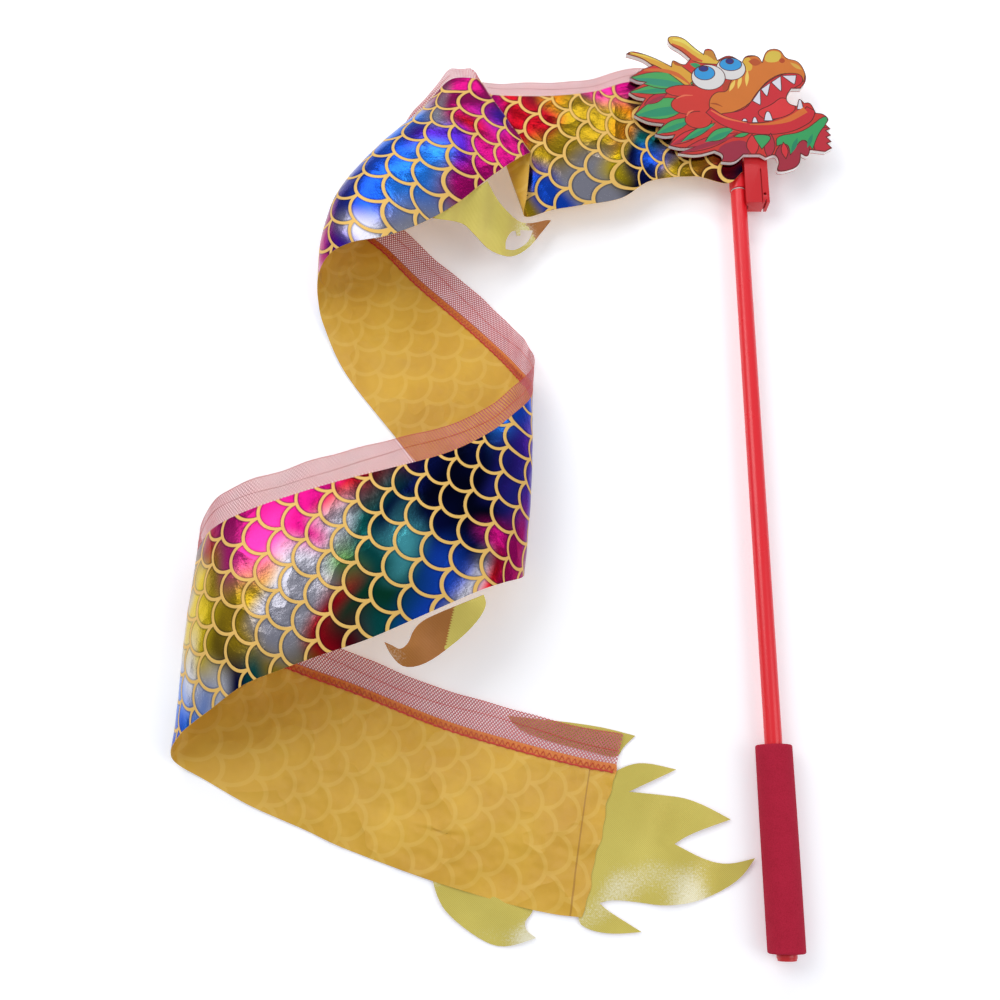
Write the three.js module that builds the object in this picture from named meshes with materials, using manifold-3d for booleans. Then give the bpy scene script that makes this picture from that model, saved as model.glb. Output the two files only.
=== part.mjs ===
// A toy dragon streamer on a stick, laid out flat on a table in zigzag folds.
// Millimetres, +Z up. The stick's axis is the Y axis, and the centre of the
// flat butt of the stick is the origin. The table is at z = -GRIP_R.
import * as THREE from 'three';
import { mergeVertices } from 'three/addons/utils/BufferGeometryUtils.js';
import Module from 'manifold-3d';

const wasm = await Module();
wasm.setup();

// ---- driving dimensions -------------------------------------------------
const TUBE_R = 5.25;          // moulded tube, outside
const TUBE_BORE_R = 4.0;
const GRIP_R = 11;            // foam grip, outside
const GRIP_LENGTH = 117;
const CAP_FLANGE = 3.6;       // how far the end cap stands out of the tube
const TUBE_END = 492.6;       // top of the tube
const COLLAR_R = 5.75;
const COLLAR_TOP = 513;
const GAP = 0.35;             // clearance between touching pieces
const CLOTH = 0.8;            // ribbon thickness
const NET = 0.5;              // net strip thickness
const NET_WIDTH = 19;
const THREAD = 0.9;
const BOARD = 3;              // head board thickness
const PRINT = 0.4;            // printed sheet thickness
const BOARD_BACK = 9.4;       // height of the board's back face
const TABLE = -GRIP_R;

const part = new THREE.Group();
const FACETS = 36;

function add(name, geometry, color, roughness, metalness = 0) {
  const material = new THREE.MeshStandardMaterial({ color, roughness, metalness });
  const mesh = new THREE.Mesh(geometry, material);
  mesh.name = name;
  part.add(mesh);
  return mesh;
}

// ---- solids -------------------------------------------------------------
// A turned piece about the Y axis, from [radius, y] points that close on themselves or the axis.
function turned(profile, facets = FACETS) {
  const points = profile.map(([r, y]) => new THREE.Vector2(r, y));
  return new THREE.LatheGeometry(points, facets);
}

// A ring or sleeve about the Y axis.
function sleeve(inner, outer, y0, y1) {
  return turned([[inner, y0], [outer, y0], [outer, y1], [inner, y1], [inner, y0]]);
}

function toManifold(geometry) {
  const bare = geometry.clone();
  bare.deleteAttribute('normal');
  bare.deleteAttribute('uv');
  const merged = mergeVertices(bare, 1e-4);
  return new wasm.Manifold(new wasm.Mesh({
    numProp: 3,
    vertProperties: new Float32Array(merged.attributes.position.array),
    triVerts: new Uint32Array(merged.index.array),
  }));
}

function fromManifold(solid) {
  const mesh = solid.getMesh();
  const geometry = new THREE.BufferGeometry();
  geometry.setAttribute('position', new THREE.BufferAttribute(mesh.vertProperties, 3));
  geometry.setIndex(new THREE.BufferAttribute(mesh.triVerts, 1));
  geometry.computeVertexNormals();
  return geometry;
}

function box(x0, x1, y0, y1, z0, z1) {
  const geometry = new THREE.BoxGeometry(x1 - x0, y1 - y0, z1 - z0);
  return geometry.translate((x0 + x1) / 2, (y0 + y1) / 2, (z0 + z1) / 2);
}

// A flat plate cut to an outline of [x, y] points from z0 to z1. A hole runs round the other way
// from a clockwise outline.
function plate(outline, z0, z1, holes = []) {
  const shape = new THREE.Shape(outline.map(([x, y]) => new THREE.Vector2(x, y)));
  for (const hole of holes) {
    shape.holes.push(new THREE.Path(hole.map(([x, y]) => new THREE.Vector2(x, y))));
  }
  const geometry = new THREE.ExtrudeGeometry(shape, { depth: z1 - z0, bevelEnabled: false });
  return geometry.translate(0, 0, z0);
}

// ---- the stick ----------------------------------------------------------
const PLUG_R = TUBE_BORE_R - GAP;
add('end_cap', turned([
  [0, 0], [5.1, 0], [5.6, 0.5], [5.6, 1.2], [5.9, 1.5], [5.9, CAP_FLANGE],
  [PLUG_R, CAP_FLANGE], [PLUG_R, 13], [PLUG_R - 0.8, 14], [0, 14],
]), 0xc8202a, 0.4);
add('pole_tube', sleeve(TUBE_BORE_R, TUBE_R, CAP_FLANGE + GAP, TUBE_END), 0xe8262b, 0.25);
add('grip_sleeve', turned([
  [TUBE_R + GAP, CAP_FLANGE + GAP], [GRIP_R - 1, CAP_FLANGE + GAP], [GRIP_R, CAP_FLANGE + GAP + 1],
  [GRIP_R, CAP_FLANGE + GRIP_LENGTH - 1], [GRIP_R - 1, CAP_FLANGE + GRIP_LENGTH],
  [TUBE_R + GAP, CAP_FLANGE + GRIP_LENGTH], [TUBE_R + GAP, CAP_FLANGE + GAP],
]), 0xb82a3c, 0.85);

// ---- the swivel: a steel pin in a plug inside the tube carries the collar ----
const PIN_R = 1.5;
const PIN_TOP = TUBE_END + 8;
const PIN_LOW = TUBE_END - 16;
add('top_plug', sleeve(PIN_R + GAP, PLUG_R, TUBE_END - 22, TUBE_END), 0xc8202a, 0.45);
add('swivel_pin', turned([
  [0, PIN_LOW], [PIN_R - 0.4, PIN_LOW], [PIN_R, PIN_LOW + 1], [PIN_R, PIN_TOP - 2],
  [3, PIN_TOP - 2], [2.6, PIN_TOP], [0, PIN_TOP],
]), 0xb8bcc0, 0.3, 1);
const WASHER_TOP = TUBE_END + GAP + 0.5;
add('swivel_washer', sleeve(PIN_R + GAP, 5, TUBE_END + GAP, WASHER_TOP), 0xe8e8e8, 0.4);
const COLLAR_LOW = WASHER_TOP + GAP;
const COLLAR_FLOOR = PIN_TOP - 2 - GAP;
const COLLAR_BORE = 4.2;
add('swivel_collar', turned([
  [PIN_R + GAP, COLLAR_LOW], [COLLAR_R, COLLAR_LOW], [COLLAR_R, COLLAR_TOP],
  [COLLAR_BORE, COLLAR_TOP], [COLLAR_BORE, COLLAR_FLOOR], [PIN_R + GAP, COLLAR_FLOOR],
  [PIN_R + GAP, COLLAR_LOW],
]), 0xd8232a, 0.28);
add('collar_cap', turned([
  [0, COLLAR_TOP - 4], [COLLAR_BORE - GAP, COLLAR_TOP - 4], [COLLAR_BORE - GAP, COLLAR_TOP + GAP],
  [COLLAR_R, COLLAR_TOP + GAP], [COLLAR_R - 0.6, COLLAR_TOP + 1.6], [0, COLLAR_TOP + 1.6],
]), 0xd8232a, 0.28);

// ---- the moulded bracket beside the collar, open at the back, glued behind the head ----
const BRACKET = { x0: 3.5, x1: 19.2, y0: 480.2, y1: 523, z0: -4.5, z1: 8.2 };
function bracket() {
  const b = BRACKET;
  const wall = 2;
  const cuts = [
    // the pole and the collar pass beside it
    turned([[0, b.y0 - 5], [COLLAR_R + GAP, b.y0 - 5], [COLLAR_R + GAP, b.y1 + 5], [0, b.y1 + 5]]),
    // two hollows open at the back, with a web between them
    box(COLLAR_R + 2, b.x1 - 6.2, b.y0 + wall, 498, b.z0 - 1, b.z1 - wall),
    box(COLLAR_R + 2, b.x1 - 6.2, 500, b.y1 - wall, b.z0 - 1, b.z1 - wall),
    // the groove between the front panel and the flange, below the head
    box(b.x1 - 5.2, b.x1 - 4.4, b.y0 - 1, 506, b.z1 - 1.4, b.z1 + 1),
    // the step in the right flange's foot
    box(b.x1 - 3.4, b.x1 - 2, b.y0 - 1, b.y0 + 2.2, b.z0 - 1, b.z1 + 1),
  ];
  const eye = new THREE.CylinderGeometry(1.1, 1.1, 30, 20).rotateX(Math.PI / 2);
  cuts.push(eye.translate(b.x1 - 2.9, b.y0 + 6.5, 0));
  let solid = toManifold(box(b.x0, b.x1, b.y0, b.y1, b.z0, b.z1));
  for (const cut of cuts) {
    solid = solid.subtract(toManifold(cut));
  }
  return fromManifold(solid);
}
add('head_bracket', bracket(), 0xb81c1f, 0.35);

// ---- the dragon's head: a die-cut board with a print on each face ----
// An outline drawn through the middles of its sides, so that each corner is rounded into a curve.
// A corner with a third value is kept sharp.
function eased(corners, steps = 4) {
  const points = [];
  const put = (x, y) => {
    const last = points[points.length - 1];
    if (!last || Math.hypot(x - last[0], y - last[1]) > 1e-6) {
      points.push([x, y]);
    }
  };
  corners.forEach(([x, y, sharp], k) => {
    const [ax, ay] = corners[(k + corners.length - 1) % corners.length];
    const [bx, by] = corners[(k + 1) % corners.length];
    if (sharp) {
      put(x, y);
      return;
    }
    for (let i = 0; i <= steps; i += 1) {
      const t = i / steps;
      const near = (1 - t) ** 2 / 2;
      const far = t ** 2 / 2;
      put(near * ax + far * bx + (1 - near - far) * x, near * ay + far * by + (1 - near - far) * y);
    }
  });
  return points;
}

// The mane down the back of the neck: root and tip of each leaf in turn, from the lowest up.
const MANE = [
  [-17, 517], [-42, 515], [-30, 520], [-48, 521], [-44, 529], [-57, 530], [-51, 538], [-71, 545],
  [-63, 558], [-74, 563], [-62, 571], [-73, 575], [-63, 582],
];
const LEAF_BELLY = 0.12;    // how far a leaf's lower side swells, as a share of its length
function mane() {
  const corners = [];
  MANE.forEach(([x, y], k) => {
    corners.push([x, y, 1]);
    if (k % 2 === 0 && k < MANE.length - 1) {
      const [tipX, tipY] = MANE[k + 1];
      const middle = [(x + tipX) / 2, (y + tipY) / 2];
      corners.push([middle[0] - LEAF_BELLY * (tipY - y), middle[1] + LEAF_BELLY * (tipX - x)]);
    }
  });
  return corners;
}

// The beard's ragged front edge: evenly spaced tufts.
const TUFT = 5;
function beard() {
  const corners = [];
  for (let k = 0; k < 4; k += 1) {
    corners.push([60, 537.5 - TUFT * k, 1], [63, 534 - TUFT * k, 1]);
  }
  return corners;
}

const HEAD = eased([
  // the rear horn and its spur
  [-75, 594, 1], [-71, 597], [-57, 592], [-44, 584, 1], [-43, 590], [-37, 585.5],
  // the front horn and the ear
  [-34, 585.5, 1], [-30.5, 590, 1], [-37, 597], [-45, 602], [-46, 609], [-35, 608.5], [-27, 599],
  [-21, 594, 1], [-20, 598.5], [-14, 598], [-11.5, 589, 1],
  // the eye, the nostril and the snout
  [-3, 594], [5.5, 587.5, 1], [8, 593], [17, 593], [19.5, 587.5, 1], [23, 598], [33, 598.5],
  [36, 590], [44, 589], [48, 583], [50, 573], [45, 566, 1],
  // the open mouth, a fang and the lower lip
  [38.5, 566, 1], [34, 558.5], [36, 553.5], [41.5, 552, 1], [43, 559], [46.5, 554.5, 1],
  [51, 555], [54, 546.5, 1],
  // the beard and the chin tuft
  [59, 546], [63, 541.5], ...beard(), [58, 516, 1], [48, 517.5, 1], [46, 511.5], [41.5, 514.5, 1],
  [40, 505], [31, 501], [23, 500.5], [26.5, 508], [24, 514.5], [17.5, 511.5, 1],
  // the straight edge over the bracket, the throat and the mane
  [13.5, 514, 1], [2.5, 514, 1], [-4, 507.5], [-13, 508.5, 1], [-11, 514], ...mane(),
  // back along the rear horn's under side
  [-57, 584.5, 1], [-64, 590.5],
]);
const BOARD_FRONT = BOARD_BACK + BOARD;
add('head_board', plate(HEAD, BOARD_BACK, BOARD_FRONT), 0xf4f2ee, 0.8);
add('head_print_front', plate(HEAD, BOARD_FRONT + 0.1, BOARD_FRONT + 0.1 + PRINT), 0xd8302a, 0.35);
add('head_print_back', plate(HEAD, BOARD_BACK - 0.1 - PRINT, BOARD_BACK - 0.1), 0xd8302a, 0.35);

// ---- the ribbon ---------------------------------------------------------
// The cloth is swept by straight lines from its netted edge to its claw edge. Each station holds
// the point on the netted edge, the point on the claw edge, and how far the middle of the line
// bows out of straight. The strip starts behind the head, takes one pleat and then three folds.
const STATIONS = [
  [[3, 557, 7.2], [2.2, 504, 7.3], [0, 0, 0]],
  [[-13, 567, 6.9], [-9, 495, 7.2], [0, 0, 0]],
  [[-43, 574, 6.6], [-31, 501, 6.6], [0, 0, 0]],
  [[-73, 575, 7.4], [-60, 497, 7.4], [0, 0, 0]],
  [[-97, 565, 11], [-82, 482, 10], [0, 0, 3]],
  [[-125, 560, 13], [-111, 476, 11], [0, 0, 4]],
  [[-153, 559, 14], [-129, 473, 10], [0, 0, 3]],
  [[-170, 561, 13], [-143, 468, 10], [0, 0, 1]],
  [[-176, 561, 16], [-147, 469, 13], [0, 0, 0]],
  [[-176, 562, 19], [-145, 481, 17], [0, 0, 0]],
  [[-175, 563, 22], [-143, 504, 21], [0, 0, 0]],
  [[-180, 565, 25], [-144, 507, 25], [0, 0, 0]],
  [[-196, 563, 27], [-168, 486, 32], [-4, 2, 4]],
  [[-209, 550, 25], [-191, 461, 39], [-7, 6, 8]],
  [[-226, 533, 18], [-213, 445, 43], [-13, 10, 11]],
  [[-240, 517, 8], [-236, 436, 42], [-15, 10, 13]],
  [[-252, 500, -2], [-258, 434, 37], [-15, 8, 11]],
  [[-258, 485, -7], [-273, 431, 28], [-12, 4, 6]],
  [[-258, 475, -9], [-282, 424, 14], [-9, 0, 2]],
  [[-254, 467, -9.8], [-284, 412, 0], [-4, 0, 0]],
  [[-239, 454, -10], [-280, 395, -7], [0, 0, 0]],
  [[-216, 430, -10], [-265, 363, -10], [0, 0, 2]],
  [[-183, 400, -10], [-233, 321, -10], [0, 0, 3]],
  [[-160, 377, -9], [-201, 281, -10], [0, 0, 3]],
  [[-149, 363, -5], [-177, 249, -9], [0, 0, 3]],
  [[-144, 354, 2], [-161, 234, -5], [1, 0, 2]],
  [[-142, 343, 12], [-149, 225, 7], [0, 0, 0]],
  [[-145, 331, 24], [-150, 218, 22], [3, 0, 3]],
  [[-154, 319, 33], [-161, 212, 34], [1, 0, 5]],
  [[-169, 304, 40], [-176, 205, 42], [0, 0, 4]],
  [[-194, 289, 46], [-203, 192, 46], [0, 0, 4]],
  [[-226, 279, 48], [-238, 176, 48], [0, 0, 4]],
  [[-255, 271, 49], [-264, 167, 48], [0, 0, 4]],
  [[-285, 262, 48], [-287, 159, 46], [-1, 0, 4]],
  [[-314, 253, 43], [-308, 151, 42], [-2, 0, 4]],
  [[-334, 246, 33], [-328, 139, 32], [-3, 0, 3]],
  [[-345, 240, 18], [-347, 128, 18], [-3, 0, 1]],
  [[-351, 233, 4], [-358, 117, 4], [0, 0, 0]],
  [[-349, 221, -6], [-356, 110, -6], [-1, 0, 0]],
  [[-340, 204, -9.6], [-340, 101, -9.6], [0, 0, 1]],
  [[-318, 184, -9.6], [-312, 86, -9.6], [0, 0, 2]],
  [[-286, 170, -9.6], [-281, 73, -9.6], [0, 0, 3]],
  [[-252, 158, -9.6], [-251, 60, -9.6], [0, 0, 4]],
  [[-199, 137, -9.4], [-202, 43, -9.4], [0, 0, 4]],
  [[-155, 124, -9.2], [-160, 31, -9.2], [0, 0, 3]],
  [[-115, 114, -9], [-133, 25, -9], [0, 0, 2]],
  [[-93, 110, -9], [-115, 23, -9], [0, 0, 0]],
];
const LAST = STATIONS.length - 1;
const vec = ([x, y, z]) => new THREE.Vector3(x, y, z);
const curve = (k) => new THREE.CatmullRomCurve3(
  STATIONS.map((s) => vec(s[k])), false, 'catmullrom', 0.5);
const NET_EDGE = curve(0);
const CLAW_EDGE = curve(1);
const BOW = curve(2);

// A point of the cloth: s counts stations along it, v goes from the netted edge to the claw edge.
function cloth(s, v) {
  const t = Math.min(Math.max(s / LAST, 0), 1);
  const point = NET_EDGE.getPoint(t).multiplyScalar(1 - v);
  point.addScaledVector(CLAW_EDGE.getPoint(t), v);
  return point.addScaledVector(BOW.getPoint(t), 4 * v * (1 - v));
}

// How far the net strip reaches past the cloth at station s: narrow at the head, full from the
// first fold on.
function netWidth(s) {
  const grow = THREE.MathUtils.smoothstep(s, 12, 19);
  return THREE.MathUtils.lerp(11, NET_WIDTH, grow) - 5 * Math.exp(-(((s - 13) / 1.6) ** 2));
}

// The net lies level past the edge, away from the claws, with w from 0 at the cloth to 1.
function net(s, w) {
  const edge = cloth(s, 0);
  const out = edge.clone().sub(cloth(s, 0.4)).setZ(0).normalize();
  const point = edge.addScaledVector(out, 0.6 + w * netWidth(s));
  point.z = Math.max(point.z, TABLE + 0.6);
  return point;
}

// Every half station between two places on the ribbon, cut back by trim at each end.
const TRIM = 0.03;
function stops(from, to) {
  const inner = [];
  for (let s = Math.ceil(from * 2 + 0.5) / 2; s < to - 0.1; s += 0.5) {
    inner.push(s);
  }
  return [from + TRIM, ...inner, to - TRIM];
}

// A thin closed sheet over a grid of a surface, at the stops ss along it and vs across it, pushed
// off it by offset along its normal.
function sheet(surface, ss, vs, thickness, offset = 0) {
  const ns = ss.length - 1;
  const nv = vs.length - 1;
  const step = 0.02;
  const top = [];
  const bottom = [];
  for (const s of ss) {
    for (const v of vs) {
      const alongS = surface(s + step, v).sub(surface(s - step, v));
      const alongV = surface(s, v + step).sub(surface(s, v - step));
      const normal = alongS.cross(alongV).normalize();
      const point = surface(s, v);
      top.push(point.clone().addScaledVector(normal, offset + thickness / 2));
      bottom.push(point.clone().addScaledVector(normal, offset - thickness / 2));
    }
  }
  const row = nv + 1;
  const count = top.length;
  const index = [];
  const quad = (a, b, c, d) => index.push(a, b, c, a, c, d);
  for (let i = 0; i < ns; i += 1) {
    for (let j = 0; j < nv; j += 1) {
      const a = i * row + j;
      quad(a, a + row, a + row + 1, a + 1);
      quad(count + a, count + a + 1, count + a + row + 1, count + a + row);
    }
    const left = i * row;
    const right = left + nv;
    quad(left, count + left, count + left + row, left + row);
    quad(right, right + row, count + right + row, count + right);
  }
  for (let j = 0; j < nv; j += 1) {
    const far = ns * row + j;
    quad(j, j + 1, count + j + 1, count + j);
    quad(far, count + far, count + far + 1, far + 1);
  }
  const geometry = new THREE.BufferGeometry();
  const points = [...top, ...bottom].flatMap((p) => [p.x, p.y, p.z]);
  geometry.setAttribute('position', new THREE.Float32BufferAttribute(points, 3));
  geometry.setIndex(index);
  geometry.computeVertexNormals();
  return geometry;
}

// The ribbon's four strands meet at these stations, on a straight line of the cloth.
const FOLDS = [0, 20, 26, 37, LAST];
const SEAM_V = 0.055;        // the seam line, as a part of the width in from the netted edge
const ACROSS = [0, SEAM_V - 0.005, SEAM_V + 0.005, 0.2, 0.35, 0.5, 0.65, 0.8, 1];
for (let k = 0; k < 4; k += 1) {
  const along = stops(FOLDS[k], FOLDS[k + 1]);
  add(`ribbon_${k + 1}`, sheet(cloth, along, ACROSS, CLOTH), 0xd0a838, 0.35, 0.4);
  add(`dorsal_net_${k + 1}`, sheet(net, along, [0, 0.5, 1], NET), 0xd09aa8, 0.8);
}

// The chain stitch stands on the plain side, just inside the netted edge. It is left out inside
// the pleat.
const STITCHED = [[0, 7], [12, 20], [20, 26], [26, 37], [37, LAST]];
STITCHED.forEach(([from, to], k) => {
  const lift = -(CLOTH + THREAD) / 2 - GAP;
  const stitch = sheet(cloth, stops(from, to), ACROSS.slice(1, 3), THREAD, lift);
  add(`seam_thread_${k + 1}`, stitch, 0xb02818, 0.8);
});

// ---- the claws and the tail: satin flaps sewn to the cloth ----
// A flat flap that hangs from the line a to b, cut to an outline of [along, out] points, turned
// down from level by slope degrees.
function flap(a, b, slope, outline, holes = []) {
  const start = vec(a);
  const along = vec(b).sub(start).normalize();
  const up = new THREE.Vector3(0, 0, 1);
  up.addScaledVector(along, -up.dot(along)).normalize();
  const level = new THREE.Vector3().crossVectors(along, up);
  const angle = THREE.MathUtils.degToRad(slope);
  const out = level.multiplyScalar(Math.cos(angle)).addScaledVector(up, -Math.sin(angle));
  const normal = new THREE.Vector3().crossVectors(along, out);
  const geometry = plate(outline, -CLOTH / 2, CLOTH / 2, holes);
  geometry.applyMatrix4(new THREE.Matrix4().makeBasis(along, out, normal).setPosition(start));
  return geometry;
}

const SATIN = 0xcdbb50;
add('claw_1', flap([-213, 445, 43], [-168, 486, 32], 35, [
  [14, 6], [27, 15], [28, 24], [34, 42], [44, 52], [61, 54], [86, 47], [84, 45], [68, 40],
  [59, 28], [57, 16], [55, 6],
], [[[54, 39], [61, 41], [67, 45], [60, 50], [50, 49], [45, 44]]]), SATIN, 0.45);
add('claw_2', flap([-203, 192, 46], [-168, 208, 40], 30, [
  [-2, 2.5], [-9, 4], [-14, 7], [-18, 12], [-24, 14], [-27, 10], [-31, 6], [-30, 16], [-25, 26],
  [-8, 28], [11, 23], [24, 16], [33, 9], [33, 2.5],
]), SATIN, 0.45);
const FLAP_Z = TABLE + 0.5;
const flat = (outline) => plate(outline, FLAP_Z - 0.3, FLAP_Z + 0.3);
add('claw_3', flat([
  [-201, 41], [-200, 36], [-194, 26], [-175, 12], [-161, 7], [-142, 13], [-148, 17], [-149, 22],
  [-144, 26.5], [-160, 30],
].map(([x, y]) => [x, y - 1.2])), SATIN, 0.45);
add('tail_flame', flat([
  [-88, 109], [-77, 111.5], [-57, 107], [-86, 94], [-65, 92], [-49, 90], [-26, 78], [-50, 70],
  [-60, 64], [-43, 55], [-29, 52], [-13, 56], [-23, 43], [-45, 32], [-66, 29], [-80, 31],
  [-97, 33], [-105, 31], [-101, 27], [-81, 15], [-98, 13.7], [-112, 16], [-113, 20],
]), SATIN, 0.45);
add('tail_tip', flat([
  [-158, 139], [-106, 133.6], [-81, 127], [-89, 120], [-92, 113.5], [-105, 116.5], [-150, 128],
]), SATIN, 0.45);

export default part;
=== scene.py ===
# A toy dragon streamer: a red stick with a foam grip, a printed dragon's head on a swivel, and a
# long foil-printed ribbon with a net crest, satin claws and a flame tail, folded on a table.
import math

import bmesh
import bpy
import numpy as np
from mathutils.geometry import delaunay_2d_cdt
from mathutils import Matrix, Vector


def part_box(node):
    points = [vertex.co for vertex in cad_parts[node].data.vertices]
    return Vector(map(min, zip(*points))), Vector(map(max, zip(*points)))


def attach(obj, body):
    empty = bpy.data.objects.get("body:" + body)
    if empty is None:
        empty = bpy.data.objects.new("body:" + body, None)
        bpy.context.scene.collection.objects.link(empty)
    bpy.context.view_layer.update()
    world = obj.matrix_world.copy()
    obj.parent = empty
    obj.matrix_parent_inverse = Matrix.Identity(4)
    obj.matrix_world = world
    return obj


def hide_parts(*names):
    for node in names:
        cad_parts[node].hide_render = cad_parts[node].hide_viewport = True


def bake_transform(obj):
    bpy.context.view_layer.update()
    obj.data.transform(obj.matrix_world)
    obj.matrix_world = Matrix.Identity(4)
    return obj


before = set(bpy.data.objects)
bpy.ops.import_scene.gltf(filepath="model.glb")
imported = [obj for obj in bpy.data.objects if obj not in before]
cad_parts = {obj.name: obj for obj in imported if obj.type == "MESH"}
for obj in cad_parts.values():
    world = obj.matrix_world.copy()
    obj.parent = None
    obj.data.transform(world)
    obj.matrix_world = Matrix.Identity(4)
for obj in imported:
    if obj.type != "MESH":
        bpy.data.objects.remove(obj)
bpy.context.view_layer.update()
MM = 0.001

# ---- the table, the camera and the light ----
# The toy lies flat on a white table and is seen from above, a little from the stick's butt end.
# Two large soft boxes and a pale room light it, and a long strip gives the foil its streaks.
TABLE_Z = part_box("grip_sleeve")[0][2]
CAMERA_TILT = 16.57     # degrees that the camera leans back from straight down
camera_data = bpy.data.cameras.new("camera")
camera_data.lens = 43.2
camera_data.sensor_width = 36
camera = bpy.data.objects.new("camera", camera_data)
camera.location = (-0.163, 0.0566, 0.727)
camera.rotation_euler = (math.radians(CAMERA_TILT), 0, 0)
bpy.context.collection.objects.link(camera)
bpy.context.scene.camera = camera
bpy.context.scene.view_settings.view_transform = "Standard"


def area_light(name, place, aim, size, power):
    """A square soft box at place that faces aim."""
    data = bpy.data.lights.new(name, "AREA")
    data.shape = "RECTANGLE"
    data.size, data.size_y = size
    data.energy = power
    lamp = bpy.data.objects.new(name, data)
    lamp.location = place
    away = np.subtract(place, aim)
    lamp.rotation_euler = (
        math.atan2(math.hypot(away[0], away[1]), away[2]), 0,
        math.atan2(away[1], away[0]) + math.pi / 2)
    bpy.context.collection.objects.link(lamp)


area_light("left_box", (-1.1, 0.9, 1.3), (-0.15, 0.3, 0), (1.1, 1.1), 11)
area_light("right_box", (1.0, -0.1, 1.2), (-0.15, 0.3, 0), (0.9, 1.1), 6.5)
area_light("top_strip", (-0.2, 1.5, 0.9), (-0.15, 0.3, 0), (1.6, 0.3), 5)
world = bpy.data.worlds.new("studio")
bpy.context.scene.world = world
world.use_nodes = True
world.node_tree.nodes["Background"].inputs["Color"].default_value = (0.86, 0.9, 1, 1)
world.node_tree.nodes["Background"].inputs["Strength"].default_value = 0.58


def srgb(text):
    """A colour given as six hexadecimal digits, as linear red, green, blue and 1."""
    parts = [int(text[i:i + 2], 16) / 255 for i in (0, 2, 4)]
    return [c / 12.92 if c < 0.04045 else ((c + 0.055) / 1.055) ** 2.4 for c in parts] + [1]


def plain_material(name, colour, roughness, metallic=0.0):
    """A Principled material with its own values; returns it, its tree and its shader."""
    material = bpy.data.materials.new(name)
    material.use_nodes = True
    tree = material.node_tree
    shader = tree.nodes["Principled BSDF"]
    shader.inputs["Base Color"].default_value = srgb(colour)
    shader.inputs["Roughness"].default_value = roughness
    shader.inputs["Metallic"].default_value = metallic
    return material, tree, shader


def put_mesh(name, points, faces, material, smooth=True):
    """A mesh object at the origin from an array of points and a list of faces."""
    mesh = bpy.data.meshes.new(name)
    mesh.from_pydata(np.asarray(points).tolist(), [], faces)
    mesh.update()
    piece = bpy.data.objects.new(name, mesh)
    bpy.context.collection.objects.link(piece)
    for one in material if isinstance(material, list) else [material]:
        mesh.materials.append(one)
    if smooth:
        mesh.shade_smooth()
        mesh.set_sharp_from_angle(angle=math.radians(40))
    return piece


floor_material, _, floor_shader = plain_material("table_top", "FCFCFC", 0.75)
floor_shader.inputs["Emission Color"].default_value = (1, 0.99, 0.97, 1)
floor_shader.inputs["Emission Strength"].default_value = 0.16
FLOOR_HALF = 3.0
floor = put_mesh("table", [(x, y, TABLE_Z - 0.0004) for x, y in (
    (-FLOOR_HALF, -FLOOR_HALF), (FLOOR_HALF, -FLOOR_HALF),
    (FLOOR_HALF, FLOOR_HALF), (-FLOOR_HALF, FLOOR_HALF))], [(0, 1, 2, 3)], floor_material, False)


# ---- shader parts that more than one finish uses ----
def calc(tree, operation, first, second=None, third=None):
    """One math node on sockets or numbers; returns its result."""
    node = tree.nodes.new("ShaderNodeMath")
    node.operation = operation
    for slot, value in zip(node.inputs, (first, second, third)):
        if isinstance(value, bpy.types.NodeSocket):
            tree.links.new(value, slot)
        elif value is not None:
            slot.default_value = value
    return node.outputs[0]


def noise(tree, vector, scale, detail=3.0, roughness=0.5):
    """A cloudy value between 0 and 1 at a vector."""
    node = tree.nodes.new("ShaderNodeTexNoise")
    node.inputs["Scale"].default_value = scale
    node.inputs["Detail"].default_value = detail
    node.inputs["Roughness"].default_value = roughness
    tree.links.new(vector, node.inputs["Vector"])
    return node.outputs["Fac"]


def mixed(tree, factor, first, second):
    """A colour between two, each a socket or a colour."""
    node = tree.nodes.new("ShaderNodeMix")
    node.data_type = "RGBA"
    for slot, value in ((0, factor), (6, first), (7, second)):
        if isinstance(value, bpy.types.NodeSocket):
            tree.links.new(value, node.inputs[slot])
        else:
            node.inputs[slot].default_value = value
    return node.outputs[2]


def bumped(tree, shader, height, strength, distance):
    """Gives a shader the relief of a height."""
    node = tree.nodes.new("ShaderNodeBump")
    node.inputs["Strength"].default_value = strength
    node.inputs["Distance"].default_value = distance
    tree.links.new(height, node.inputs["Height"])
    tree.links.new(node.outputs["Normal"], shader.inputs["Normal"])


def ramp(tree, value, start, end, smooth=False, falling=False):
    """A value that runs from 0 to 1 as another goes from start to end, or from 1 to 0."""
    node = tree.nodes.new("ShaderNodeMapRange")
    if smooth:
        node.interpolation_type = "SMOOTHSTEP"
    for slot, given in (("Value", value), ("From Min", start), ("From Max", end)):
        if isinstance(given, bpy.types.NodeSocket):
            tree.links.new(given, node.inputs[slot])
        else:
            node.inputs[slot].default_value = given
    if falling:
        node.inputs["To Min"].default_value = 1
        node.inputs["To Max"].default_value = 0
    return node.outputs[0]


def new_group(name, inputs, outputs):
    """A node group with float or vector inputs and float outputs; returns it and its two ends."""
    group = bpy.data.node_groups.new(name, "ShaderNodeTree")
    for label, kind in inputs:
        group.interface.new_socket(label, in_out="INPUT", socket_type=kind)
    for label in outputs:
        group.interface.new_socket(label, in_out="OUTPUT", socket_type="NodeSocketFloat")
    return group, group.nodes.new("NodeGroupInput"), group.nodes.new("NodeGroupOutput")


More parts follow.
